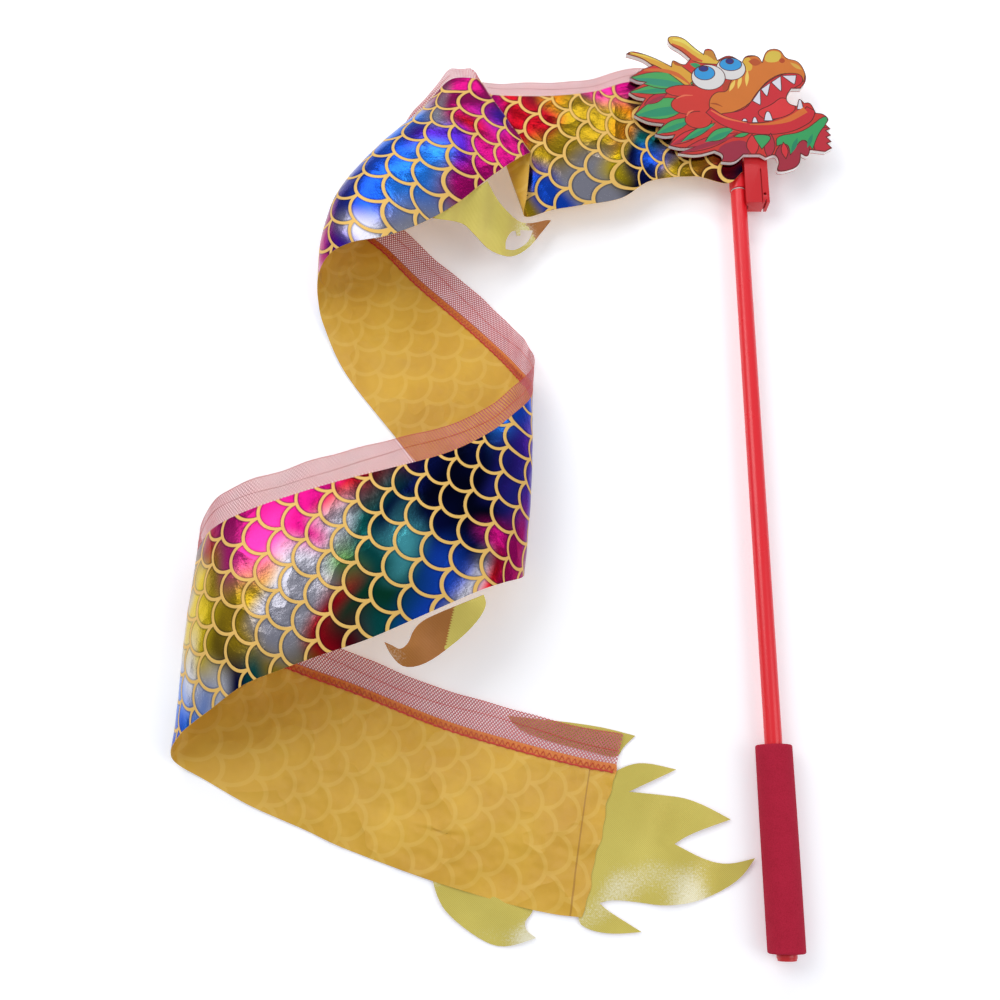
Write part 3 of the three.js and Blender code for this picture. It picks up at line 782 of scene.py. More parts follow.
for name, s0, s1, first, second, node, heights in RIBBON_PIECES:
    rows = np.linspace(s0, s1, int(round((s1 - s0) * STEPS)) + 1)
    s, v = np.meshgrid(rows, np.linspace(0, 1, ACROSS), indexing="ij")
    points = cloth(s, v)
    flat = flat_map(s, v)
    normal = surface_normals(points)
    lift = crinkle(flat, v)
    lift = np.where(points[..., 2] < LYING, np.abs(lift), lift)
    points = points + normal * lift[..., None] * CRINKLE_SHARE
    along = np.gradient(points, axis=0)
    along /= np.linalg.norm(along, axis=2, keepdims=True)
    ragged = np.clip((s - LAST + 0.6) / 0.6, 0, 1) * (np.sin(v * 17) + 0.6 * np.sin(v * 41))
    points = points + along * ragged[..., None] * END_WAVE
    points[..., 2] = np.maximum(points[..., 2], TABLE_Z + CLEAR)
    piece = two_sided(name, points + normal * CLOTH_THICK / 2, points - normal * CLOTH_THICK / 2,
                      flat, [FOIL, BACK], foil_tint_with_painted_glints(s, v, flat))
    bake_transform(piece)
    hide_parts(node, *(["ribbon_4"] if s1 == LAST else []))

# ---- the net crest ----
# A strip of soft coarse net sewn along the ribbon's upper edge, level with the table past the
# edge. Its outer edge is turned over a thread. Threads show the light through.
NET_THICK = 0.00025


def net_width(s):
    """Reach of the net past the cloth, in metres: narrow at the head, full from the first fold."""
    grow = np.clip((s - 12) / 7, 0, 1)
    grow = grow * grow * (3 - 2 * grow)
    return (11 + 8 * grow - 5 * np.exp(-((s - 13) / 1.6) ** 2)) * MM


def net_surface(s, w):
    """Points of the net: from the netted edge out, level, with a small ripple that grows
    outwards."""
    edge = cloth(s, np.zeros_like(s))
    out = edge - cloth(s, np.full_like(s, 0.4))
    out[..., 2] = 0
    out /= np.linalg.norm(out, axis=-1, keepdims=True)
    run = np.interp(s, FINE_S, FLAT_ALONG) * 1000
    ripple = np.sin(run / 9 + 1.5 * np.sin(run / 31)) + 0.5 * np.sin(run / 4.3)
    width = net_width(s) * (1 + 0.02 * np.sin(run / 14) + 0.01 * np.sin(run / 5))
    point = edge + out * ((w * width - 0.0005)[..., None])
    point[..., 2] += ripple * w * 0.9 * MM
    point[..., 2] = np.maximum(point[..., 2], TABLE_Z + 0.0016)
    return point


def net_material():
    """Net: diamond holes between slanted threads, pinkish red, half see-through."""
    material, tree, shader = plain_material("crest_net", "C8505E", 0.7)
    place = uv_socket(tree)
    threads = use_group(tree, THREADS, place, Pitch=0.0019, Slant=0.8)
    peak = calc(tree, "MAXIMUM", threads.outputs["Warp"], threads.outputs["Weft"])
    cover = ramp(tree, peak, 0.62, 0.86, smooth=True)
    patch = noise(tree, place, 60, 3)
    opaque = calc(tree, "MULTIPLY", cover, calc(tree, "MULTIPLY_ADD", patch, 0.7, 0.45))
    tree.links.new(mixed(tree, patch, srgb("BC4A52"), srgb("D87C80")),
                   shader.inputs["Base Color"])
    tree.links.new(calc(tree, "MINIMUM", opaque, 1.0), shader.inputs["Alpha"])
    return material


NET = net_material()
NET_ROWS = 13
for name, s0, s1, first, second, node, heights in RIBBON_PIECES:
    rows = np.linspace(s0, s1, int(round((s1 - s0) * STEPS)) + 1)
    s, w = np.meshgrid(rows, np.linspace(0, 1, NET_ROWS), indexing="ij")
    points = net_surface(s, w)
    flat = np.stack([np.interp(s, FINE_S, FLAT_ALONG), w * net_width(s)], -1)
    normal = surface_normals(points[:, ::-1])[:, ::-1]
    top = points + normal * NET_THICK / 2
    low = points - normal * NET_THICK / 2
    piece = two_sided(name.replace("ribbon", "net"), top[:, ::-1], low[:, ::-1],
                      flat[:, ::-1], [NET])
    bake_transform(piece)
    number = int(node[-1])
    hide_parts(f"dorsal_net_{number}", *(["dorsal_net_4"] if s1 == LAST else []))

# ---- the seam and hem threads ----
# The net is sewn on with a red chain stitch just inside the ribbon's edge, with loops of a finer
# thread over the raw edge. A single thread runs along the net's middle.
THREAD_SIDES = 6


def tube_along(path, radius):
    """A closed round tube along a path: points and quads, with pole points at its ends."""
    way = np.gradient(path, axis=0)
    way /= np.linalg.norm(way, axis=1, keepdims=True)
    side = np.cross(way, (0, 0, 1.0))
    side /= np.maximum(np.linalg.norm(side, axis=1, keepdims=True), 1e-9)
    up = np.cross(side, way)
    angle = np.linspace(0, 2 * np.pi, THREAD_SIDES, endpoint=False)
    radius = np.broadcast_to(radius, len(path))[:, None, None]
    ring = path[:, None] + radius * (side[:, None] * np.cos(angle)[:, None]
                                     + up[:, None] * np.sin(angle)[:, None])
    n = len(path)
    i, j = np.meshgrid(np.arange(n - 1), np.arange(THREAD_SIDES), indexing="ij")
    nxt = (j + 1) % THREAD_SIDES
    quads = np.stack([i * THREAD_SIDES + j, i * THREAD_SIDES + nxt,
                      (i + 1) * THREAD_SIDES + nxt, (i + 1) * THREAD_SIDES + j], -1)
    points = np.concatenate([ring.reshape(-1, 3), path[:1], path[-1:]])
    faces = quads.reshape(-1, 4).tolist()
    first, last = n * THREAD_SIDES, n * THREAD_SIDES + 1
    for j in range(THREAD_SIDES):
        after = (j + 1) % THREAD_SIDES
        faces.append([first, after, j])
        faces.append([last, (n - 1) * THREAD_SIDES + j, (n - 1) * THREAD_SIDES + after])
    return points, faces


def put_tubes(name, tubes, material):
    """One mesh of several closed tubes, each given as a path and a radius."""
    points, faces = [], []
    for path, radius in tubes:
        base = sum(len(p) for p in points)
        p, f = tube_along(path, radius)
        points.append(p)
        faces += [[k + base for k in face] for face in f]
    piece = put_mesh(name, np.concatenate(points), faces, material)
    work = bmesh.new()
    work.from_mesh(piece.data)
    bmesh.ops.recalc_face_normals(work, faces=work.faces)
    work.to_mesh(piece.data)
    work.free()
    return piece


def stations_for(pitch, s0, s1):
    """Places along the ribbon between s0 and s1, an equal length of cloth apart."""
    a, b = np.interp([s0, s1], FINE_S, FLAT_ALONG)
    return np.interp(np.linspace(a, b, int((b - a) / pitch)), FLAT_ALONG, FINE_S)


def thread_material():
    """Red sewing thread, mottled along its length."""
    material, tree, shader = plain_material("sewing_thread", "B8281C", 0.6)
    place = object_socket(tree)
    tone = noise(tree, place, 350, 2)
    tree.links.new(mixed(tree, tone, srgb("A81410"), srgb("E04020")), shader.inputs["Base Color"])
    shader.inputs["Sheen Weight"].default_value = 0.3
    return material


THREAD_RED = thread_material()
SEAM_V = 0.055          # where the chain stitch runs across the cloth
CHAIN = 0.0028          # length of one chain stitch
LOOP = 0.0016           # spacing of the overlocked loops
SEWN = {"ribbon_front": [(0.2, 7), (12, 22.5)], "ribbon_middle": [(22.5, 32)],
        "ribbon_rear": [(32, LAST - 0.05)]}
THREAD_NODES = {"ribbon_front": ["seam_thread_1", "seam_thread_2"],
                "ribbon_middle": ["seam_thread_3"],
                "ribbon_rear": ["seam_thread_4", "seam_thread_5"]}


def cloth_off(s, v, off):
    """Points off the cloth by off on its plain side."""
    along = cloth(s + 0.02, v) - cloth(s - 0.02, v)
    across = cloth(s, v + 0.01) - cloth(s, v - 0.01)
    normal = np.cross(along, across)
    normal /= np.linalg.norm(normal, axis=-1, keepdims=True)
    return cloth(s, v) - normal * off


for name, s0, s1, first, second, node, heights in RIBBON_PIECES:
    tubes = []
    for a, b in SEWN[name]:
        s = stations_for(0.0005, a, b)
        run = np.interp(s, FINE_S, FLAT_ALONG)
        beat = np.abs(np.sin(run * np.pi / CHAIN))
        chain = cloth_off(s, SEAM_V + 0.002 * np.sin(run * np.pi / CHAIN), 0.0006)
        tubes.append((chain, (0.34 + 0.3 * beat) * MM))
        swing = (2 / np.pi) * np.arcsin(np.sin(run * np.pi / LOOP))
        over = cloth_off(s, 0.034 + 0.02 * swing, 0.0005)
        tubes.append((over, 0.17 * MM))
        middle = net_surface(s, 0.52 + 0.08 * np.sin(run / 0.021))
        middle[:, 2] += 0.0003
        tubes.append((middle, 0.16 * MM))
        outer = net_surface(s, 0.97 + 0.0 * s)
        outer[:, 2] += 0.0002
        tubes.append((outer, 0.12 * MM))
    piece = put_tubes(name.replace("ribbon", "threads"), tubes, THREAD_RED)
    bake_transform(piece)
    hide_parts(*THREAD_NODES[name])


# ---- flat-cut pieces: claws, tail and the head's print ----
def inside(points, outline):
    """Whether each of an array of points lies inside a closed outline."""
    x, y = points[:, 0][:, None], points[:, 1][:, None]
    ax, ay = outline[:, 0], outline[:, 1]
    bx, by = np.roll(ax, -1), np.roll(ay, -1)
    crossed = (ay > y) != (by > y)
    reach = ax + (y - ay) * (bx - ax) / np.where(by == ay, 1, by - ay)
    return (crossed & (x < reach)).sum(1) % 2 == 1


def eased(corners, limit=80, steps=4):
    """A closed outline through its corners with every gentle corner rounded into a curve between
    the middles of its sides. Corners that turn more than limit degrees stay sharp."""
    p = np.asarray(corners, float)
    before, after = np.roll(p, 1, 0), np.roll(p, -1, 0)
    made = []
    for a, b, c in zip(before, p, after):
        u, w = b - a, c - b
        turn = math.degrees(math.acos(np.clip(
            u @ w / np.linalg.norm(u) / np.linalg.norm(w), -1, 1)))
        start, end = (a + b) / 2, (b + c) / 2
        if turn > limit:
            made += [start, b]
        else:
            for k in range(steps):
                t = k / steps
                made.append(start * (1 - t) ** 2 + b * 2 * t * (1 - t) + end * t * t)
    return np.array(made)


def filled(outline, holes, spacing):
    """Triangles that fill an outline less its holes, on points a spacing apart in two
    directions. Returns the points and the triangles."""
    low, high = outline.min(0), outline.max(0)
    gx = np.arange(low[0] + spacing / 2, high[0], spacing)
    gy = np.arange(low[1] + spacing / 2, high[1], spacing * 0.87)
    x, y = np.meshgrid(gx, gy)
    x[1::2] += spacing / 2
    grid = np.stack([x.ravel(), y.ravel()], -1)
    rings = [outline, *holes]
    keep = inside(grid, outline)
    for hole in holes:
        keep &= ~inside(grid, hole)
    edge = np.concatenate(rings)
    gap = np.linalg.norm(grid[:, None] - edge[None], axis=2).min(1)
    grid = grid[keep & (gap > spacing * 0.45)]
    points = np.concatenate([edge, grid])
    edges, start = [], 0
    for ring in rings:
        n = len(ring)
        edges += [(start + k, start + (k + 1) % n) for k in range(n)]
        start += n
    made, _, faces, *_ = delaunay_2d_cdt([tuple(q) for q in points], edges, [], 0, 1e-6)
    made = np.array([tuple(q) for q in made])
    faces = np.array([list(f) for f in faces])
    centre = made[faces].mean(1)
    good = inside(centre, outline)
    for hole in holes:
        good &= ~inside(centre, hole)
    return made, faces[good]


def closed_plate(name, flat, triangles, top, bottom, materials, tint=None):
    """A closed thin piece from triangles with a top and a bottom point for each corner. The top
    takes the first material, the bottom and the rim the last."""
    n = len(flat)
    pairs = np.concatenate([triangles[:, [0, 1]], triangles[:, [1, 2]], triangles[:, [2, 0]]])
    known = {(a, b) for a, b in pairs.tolist()}
    rim = np.array([(a, b) for a, b in known if (b, a) not in known])
    walls = np.stack([rim[:, 1], rim[:, 0], rim[:, 0] + n, rim[:, 1] + n], -1)
    faces = triangles.tolist() + (triangles[:, ::-1] + n).tolist() + walls.tolist()
    piece = put_mesh(name, np.concatenate([top, bottom]), faces, materials)
    slots = np.zeros(len(faces), int)
    slots[len(triangles):] = len(materials) - 1
    piece.data.polygons.foreach_set("material_index", slots)
    paint(piece.data, np.concatenate([flat, flat]), tint)
    return piece


def cut_size(flat, triangles):
    """The flat cut of a piece in mm: its width and length, and its area, in metres."""
    a, b, c = (flat[triangles[:, k]] for k in range(3))
    area = np.abs((b - a)[:, 0] * (c - a)[:, 1] - (b - a)[:, 1] * (c - a)[:, 0]).sum() / 2
    spread = (flat.max(0) - flat.min(0)) * MM
    return {"flat": tuple(float(v) for v in spread), "area": float(area * MM * MM)}


def satin_material(name, light, deep):
    """Thin satin with a slanted twill: silky, with painted highlights where cloudy noise runs high,
    mixed toward near-white.
    """
    material, tree, shader = plain_material(name, light, 0.34, 0.25)
    place = uv_socket(tree)
    patch = noise(tree, place, 28, 3)
    twill = use_group(tree, THREADS, place, Pitch=0.0012, Slant=1.0)
    tone = calc(tree, "ADD", calc(tree, "MULTIPLY", patch, 0.6),
                calc(tree, "MULTIPLY", twill.outputs["Warp"], 0.35))
    # A painted highlight: where cloudy noise runs high, the satin's colour is mixed toward
    # near-white.
    broad = noise(tree, place, 17, 1)
    painted_gleam = tree.nodes.new("ShaderNodeMapRange")
    painted_gleam.interpolation_type = "SMOOTHSTEP"
    tree.links.new(calc(tree, "MULTIPLY_ADD", noise(tree, place, 900, 2), 0.22, broad),
                   painted_gleam.inputs["Value"])
    painted_gleam.inputs["From Min"].default_value = 0.66
    painted_gleam.inputs["From Max"].default_value = 0.84
    body = mixed(tree, tone, srgb(deep), srgb(light))
    tree.links.new(mixed(tree, calc(tree, "MULTIPLY", painted_gleam.outputs[0], 0.75), body,
                         srgb("FBF6DC")), shader.inputs["Base Color"])
    shader.inputs["Sheen Weight"].default_value = 0.3
    shader.inputs["Anisotropic"].default_value = 0.5
    height = calc(tree, "ADD", calc(tree, "MULTIPLY", twill.outputs["Warp"], 0.25),
                  calc(tree, "MULTIPLY", noise(tree, place, 60, 4), 1.2))
    bumped(tree, shader, height, 0.6, 0.0005)
    return material


SATIN = satin_material("claw_satin", "E6D76C", "BCA63A")
# The claws' other side: brown-orange satin, partly the cloth's reverse and partly painted shade
# where a claw curls under.
SATIN_REVERSE_SHADED = satin_material("claw_satin_reverse_shaded", "C07A20", "8A4E10")
FLAP_THICK = 0.0004


def flap_frame(a, b, slope):
    """The three directions of a flap hung from a line from a to b in mm, turned down by slope."""
    a, b = np.array(a, float), np.array(b, float)
    along = (b - a) / np.linalg.norm(b - a)
    up = np.array([0, 0, 1.0])
    up -= along * (up @ along)
    up /= np.linalg.norm(up)
    level = np.cross(along, up)
    angle = math.radians(slope)
    out = level * math.cos(angle) - up * math.sin(angle)
    return a, along, out, np.cross(along, out)


def put_flap(name, hang, outline, holes, bend, turned_over, materials):
    """A satin flap on the frame of its hanging line. Bend gives how far each point stands off the
    flap's plane, in mm, and turned_over where the cloth shows its other side, which takes the
    darker reverse satin as painted shade."""
    start, along, out, normal = hang
    flat, triangles = filled(eased(outline), [eased(h)[::-1] for h in holes], 1.6)
    off = bend(flat[:, 0], flat[:, 1])[:, None]
    mid = start + flat[:, :1] * along + flat[:, 1:] * out + off * normal
    half = FLAP_THICK / MM / 2 * normal
    if normal[2] < 0:
        half, triangles = -half, triangles[:, ::-1]
    piece = closed_plate(name, flat * MM, triangles, (mid + half) * MM, (mid - half) * MM,
                         materials)
    slots = np.ones(len(piece.data.polygons), int)
    centre = flat[triangles].mean(1)
    slots[:len(triangles)] = turned_over(centre[:, 0], centre[:, 1])
    piece.data.polygons.foreach_set("material_index", slots)
    return piece, cut_size(flat, triangles)


# Claw 1 hangs from the underside of the first strand after the pleat, cut with an opening.
claw_1, claw_1_cut = put_flap("front_claw", flap_frame((-213, 445, 43), (-168, 486, 32), 35), [
    (8, 1), (14, 6), (27, 15), (28, 24), (34, 42), (44, 52), (61, 54), (86, 47), (84, 45), (68, 40),
    (59, 28), (57, 16), (56, 1)],
    [[(54, 37), (58, 39), (57, 42), (60, 43.5), (62, 40.5), (70, 45.5), (62, 50.5), (50, 49.5),
      (43, 44.5), (46, 39.5)]],
    lambda x, y: 1.6 * np.sin(x / 9) * np.clip(y / 30, 0, 1) + 0.9 * np.sin((x + y) / 5),
    # past x 68 the flap shows its other side, in the darker satin painted as shade
    lambda x, y: x > 68,
    [SATIN, SATIN_REVERSE_SHADED])
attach(claw_1, "claw_1")
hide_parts("claw_1")

claw_2, claw_2_cut = put_flap("middle_claw", flap_frame((-203, 192, 46), (-168, 208, 40), 30), [
    (-2, 2.5), (-9, 4), (-14, 7), (-18, 12), (-24, 14), (-27, 10), (-31, 6), (-30, 16), (-25, 26),
    (-8, 28), (11, 23), (24, 16), (33, 9), (33, 2.5)], [],
    lambda x, y: 1.5 * np.sin(x / 8 + 1) * np.clip(y / 15, 0, 1),
    # the hook shows its other side, in the darker satin painted as shade
    lambda x, y: x + 0.6 * y < 16, [SATIN, SATIN_REVERSE_SHADED])
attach(claw_2, "claw_2")
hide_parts("claw_2")


def put_laid(name, outline, lift):
    """A satin piece lying flat on the table, in the frame's x and y, in mm."""
    flat, triangles = filled(eased(outline), [], 1.6)
    z = TABLE_Z / MM + 0.5 + lift(flat[:, 0], flat[:, 1])
    mid = np.column_stack([flat, z])
    half = np.array([0, 0, FLAP_THICK / MM / 2])
    piece = closed_plate(name, flat * MM, triangles, (mid + half) * MM, (mid - half) * MM,
                         [SATIN, SATIN_REVERSE_SHADED])
    return piece, cut_size(flat, triangles)


claw_3, claw_3_cut = put_laid("rear_claw", [
    (-203, 46), (-200, 34.8), (-194, 24.8), (-175, 10.8), (-161, 5.8), (-142, 11.8),
    (-148, 15.8), (-149, 20.8), (-144, 25.3), (-142, 34), (-170, 42)],
    lambda x, y: 0.6 + 0.6 * np.sin(x / 6 + y / 9))
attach(claw_3, "claw_3")
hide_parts("claw_3")

tail, tail_cut = put_laid("tail_flames", [
    (-88, 109), (-77, 111.5), (-57, 107), (-86, 94), (-65, 92), (-49, 90), (-26, 78), (-50, 70),
    (-60, 64), (-43, 55), (-29, 52), (-13, 56), (-23, 43), (-45, 32), (-66, 29), (-80, 31),
    (-97, 33), (-105, 31), (-101, 27), (-81, 15), (-98, 13.7), (-112, 16), (-120, 22),
    (-108, 60), (-97, 104)],
    lambda x, y: 0.8 + 0.8 * np.sin(x / 7 - y / 15) * np.clip((x + 100) / 30, 0, 1))
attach(tail, "tail")
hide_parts("tail_flame")

tip, tip_cut = put_laid("tail_corner", [
    (-158, 139), (-106, 133.6), (-81, 127), (-89, 120), (-92, 113.5), (-105, 116.5), (-150, 128)],
    lambda x, y: 0.05 * np.sin(x / 6))
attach(tip, "strand_4")
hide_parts("tail_tip")

# ---- the head: a die-cut board between two printed sheets ----
# The face is printed flat colour with dark outlines. It is drawn with four kinds of mark: rounded
# outlines, leaves, brush strokes and ovals, each over the ones before it.
def rounded(corners, steps=4):
    """An outline through the middles of its sides, with each corner rounded into a curve. A
    corner with a third value is kept sharp."""
    made = []
    for k, (x, y, *sharp) in enumerate(corners):
        if sharp:
            made.append((x, y))
            continue
        before, after = corners[k - 1], corners[(k + 1) % len(corners)]
        for t in np.linspace(0, 1, steps + 1):
            near, far = (1 - t) ** 2 / 2, t ** 2 / 2
            made.append((near * before[0] + far * after[0] + (1 - near - far) * x,
                         near * before[1] + far * after[1] + (1 - near - far) * y))
    made = np.array(made)
    return made[np.linalg.norm(made - np.roll(made, 1, 0), axis=1) > 1e-6]


def leaf(root, tip, half_width, count=9):
    """A pointed leaf from its root to its tip, widest in the middle."""
    root, tip = np.array(root, float), np.array(tip, float)
    along = tip - root
    across = np.array([-along[1], along[0]]) / np.linalg.norm(along)
    t = np.linspace(0, 1, count)[:, None]
    swell = half_width * np.sin(np.pi * t) * across
    return np.concatenate([root + along * t + swell, (root + along * t - swell)[-2:0:-1]])


def stroke(route, widths, steps=5):
    """A brush stroke along a route, with its half width at each point of the route."""
    at = np.arange(len(route))
    fine = np.linspace(0, len(route) - 1, steps * (len(route) - 1) + 1)
    route = through(np.array(route, float), fine)
    half = np.interp(fine, at, widths)[:, None]
    along = np.gradient(route, axis=0)
    across = np.column_stack([-along[:, 1], along[:, 0]])
    across /= np.linalg.norm(across, axis=1, keepdims=True)
    return np.concatenate([route + across * half, (route - across * half)[::-1]])


def oval(cx, cy, rx, ry, count=28):
    """An oval round a centre."""
    angle = np.linspace(0, 2 * np.pi, count, endpoint=False)
    return np.column_stack([cx + rx * np.cos(angle), cy + ry * np.sin(angle)])


# The mane down the back of the neck: root and tip of each leaf in turn, from the lowest up.
MANE = [(-17, 517), (-42, 515), (-30, 520), (-48, 521), (-44, 529), (-57, 530), (-51, 538),
        (-71, 545), (-63, 558), (-74, 563), (-62, 571), (-73, 575), (-63, 582)]
LEAF_BELLY = 0.12       # how far a leaf's lower side swells, as a share of its length
TUFT = 5                # spacing of the beard's tufts
mane = []
for k, (x, y) in enumerate(MANE):
    mane.append((x, y, 1))
    if k % 2 == 0 and k < len(MANE) - 1:
        tip_x, tip_y = MANE[k + 1]
        mane.append(((x + tip_x) / 2 - LEAF_BELLY * (tip_y - y),
                     (y + tip_y) / 2 + LEAF_BELLY * (tip_x - x)))
beard = []
for k in range(4):
    beard += [(60, 537.5 - TUFT * k, 1), (63, 534 - TUFT * k, 1)]
HEAD = rounded([
    # the rear horn and its spur
    (-75, 594, 1), (-71, 597), (-57, 592), (-44, 584, 1), (-43, 590), (-37, 585.5),
    # the front horn and the ear
    (-34, 585.5, 1), (-30.5, 590, 1), (-37, 597), (-45, 602), (-46, 609), (-35, 608.5),
    (-27, 599), (-21, 594, 1), (-20, 598.5), (-14, 598), (-11.5, 589, 1),
    # the eye, the nostril and the snout
    (-3, 594), (5.5, 587.5, 1), (8, 593), (17, 593), (19.5, 587.5, 1), (23, 598), (33, 598.5),
    (36, 590), (44, 589), (48, 583), (50, 573), (45, 566, 1),
    # the open mouth, a fang and the lower lip
    (38.5, 566, 1), (34, 558.5), (36, 553.5), (41.5, 552, 1), (43, 559), (46.5, 554.5, 1),
    (51, 555), (54, 546.5, 1),
    # the beard and the chin tuft
    (59, 546), (63, 541.5), *beard, (58, 516, 1), (48, 517.5, 1), (46, 511.5), (41.5, 514.5, 1),
    (40, 505), (31, 501), (23, 500.5), (26.5, 508), (24, 514.5), (17.5, 511.5, 1),
    # the straight edge over the bracket, the throat and the mane
    (13.5, 514, 1), (2.5, 514, 1), (-4, 507.5), (-13, 508.5, 1), (-11, 514), *mane,
    # back along the rear horn's under side
    (-57, 584.5, 1), (-64, 590.5),
])
INK = "54201A"
# Each mark: its colour, whether it has an ink line round it, and its outline.
patches = [("A02A40", 0, rounded([(-14, 507), (8, 512), (6, 527), (-16, 521)]))]
# the mane, each leaf with a darker under side
for tone, shade, root, tip, half_width in (
        ("C8303A", "A02A40", (0, 531), (-42, 515), 4.5),
        ("D8303A", "B02C40", (-22, 535), (-48, 521), 4),
        ("3CA862", "24936A", (-15, 539), (-40, 523.5), 3),
        ("3CA862", "24936A", (-3, 535), (-23.5, 524), 4.5),
        ("3FA65E", "24936A", (-30, 543), (-57, 530), 4.5),
        ("47A85C", "24936A", (-30, 555), (-71, 545), 8.5),
        ("C4263A", "A02A40", (-47, 563), (-64, 553), 3.5),
        ("47A85C", "24936A", (-28, 569), (-74, 563), 4.5),
        ("47A85C", "2E9474", (-28, 570), (-73, 575), 7)):
    patches.append((tone, 1, leaf(root, tip, half_width)))
    low = np.array([0, -0.45 * half_width])
    patches.append((shade, 0, leaf(root + low, tip + low * 0.3, half_width * 0.4)))
patches += [
    # the rear horn, its light upper side, its orange under side and its spur
    ("E0A437", 1, stroke([(-76, 594), (-59, 590), (-45, 584), (-30, 571)], [1, 3.6, 5.5, 5.5])),
    ("EBCB52", 0, stroke([(-72, 595), (-58, 591), (-48, 586)], [0.4, 1, 0.4])),
    ("D4682E", 0, stroke([(-63, 581), (-50, 580.5), (-40, 577), (-31, 569)], [1, 1.4, 1.6, 0.5])),
    ("B85A24", 0, stroke([(-42, 588), (-40, 586), (-36, 584)], [1, 1.4, 0.6])),
    # the front horn in the same way, and the ear
    ("E4B844", 1, stroke([(-46, 605), (-36, 603), (-25, 593), (-10, 589)], [4, 5.5, 6, 4])),
    ("D0552C", 0, stroke([(-43, 602), (-36, 597.5), (-28, 590.5), (-22, 588)], [1, 2, 2, 0.6])),
    ("ECD860", 0, stroke([(-42, 606), (-34, 604), (-27, 598), (-23, 594)], [0.6, 1.5, 1.5, 0.6])),
    ("C8862E", 0, stroke([(-20, 595), (-16, 594), (-12.5, 589)], [1.5, 2.6, 1])),
    ("2E9A60", 0, leaf((-31, 586), (-22, 583), 2)),
]
# the cheek's three lobes, and the mass that joins them
for cx, cy, rx, ry in ((-35, 564, 14, 5), (-33, 553, 12.5, 8), (-27, 541, 9.5, 7)):
    patches.append(("D4382E", 1, oval(cx, cy, rx, ry)))
patches += [
    ("D4382E", 0, rounded([(-34, 567), (-6, 572), (-8, 546), (-20, 538), (-26, 548), (-30, 558)])),
    ("EC7250", 0, stroke([(-41.5, 558), (-36, 560.3), (-30, 560.5)], [0.3, 0.7, 0.2])),
    ("EC7250", 0, stroke([(-35, 544), (-33, 547), (-30, 548.5)], [0.3, 0.8, 0.2])),
    ("B84028", 0, rounded([(-10, 563), (-8, 572), (4, 574), (-2, 562)])),
    # the snout
    ("D8782C", 1, rounded([
        (6, 583), (7, 592), (18, 593), (20, 588, 1), (23, 599), (34, 599), (36, 590), (45, 589),
        (50, 580), (47.5, 571, 1), (36, 580), (20, 571), (10, 553), (-6, 545), (-18, 545),
        (-20, 556), (-14, 564), (-6, 563), (-4, 572)])),
    ("DDC04A", 0, rounded([(20, 587), (24, 597), (34, 596), (32, 587)])),
    ("E2B23C", 0, rounded([(6, 580), (6, 590), (12, 592), (13, 580)])),
    ("DDAA46", 0, leaf((39, 587), (47, 581), 1.4)),
    ("B8481C", 0, oval(33.5, 588.5, 2, 2)),
    ("BC5426", 0, leaf((10, 588), (19, 586.5), 3)),
    ("A84C1C", 0, stroke([(-18, 554), (-14, 553.5), (-10, 551.5)], [0.3, 0.7, 0.2])),
]
# three light tufts between the eye and the snout
for k in range(3):
    root, tip = (-4.5 + 6 * k, 563.5 + 2 * k), (4.5 * k, 573 + 4 * k)
    patches.append(("F2CE60", 0, leaf(root, tip, 1.3)))
patches += [
    # the open mouth and the tongue
    ("D02A34", 1, rounded([
        (-16, 546), (6, 548), (14, 564), (30, 578), (46, 579), (48, 570), (36, 564), (34, 556),
        (43, 551), (30, 542), (12, 537), (-6, 541)])),
    ("E0363A", 1, rounded([(12, 548), (24, 553), (32, 561), (43, 551), (34, 543), (18, 540)])),
]
# the upper teeth between neighbouring points of the gum
GUM = [(10.5, 556), (17, 565.5), (24.5, 571), (32, 576.5), (43, 577)]
TOOTH_TIPS = [(15.5, 552.5), (20.5, 559.5), (30.5, 563.5), (40, 569)]
for left, right, point in zip(GUM, GUM[1:], TOOTH_TIPS):
    x, y = point
    patches.append(("E4E0E8", 1, rounded([(*left, 1), (*right, 1), (x + 1.5, y), point])))
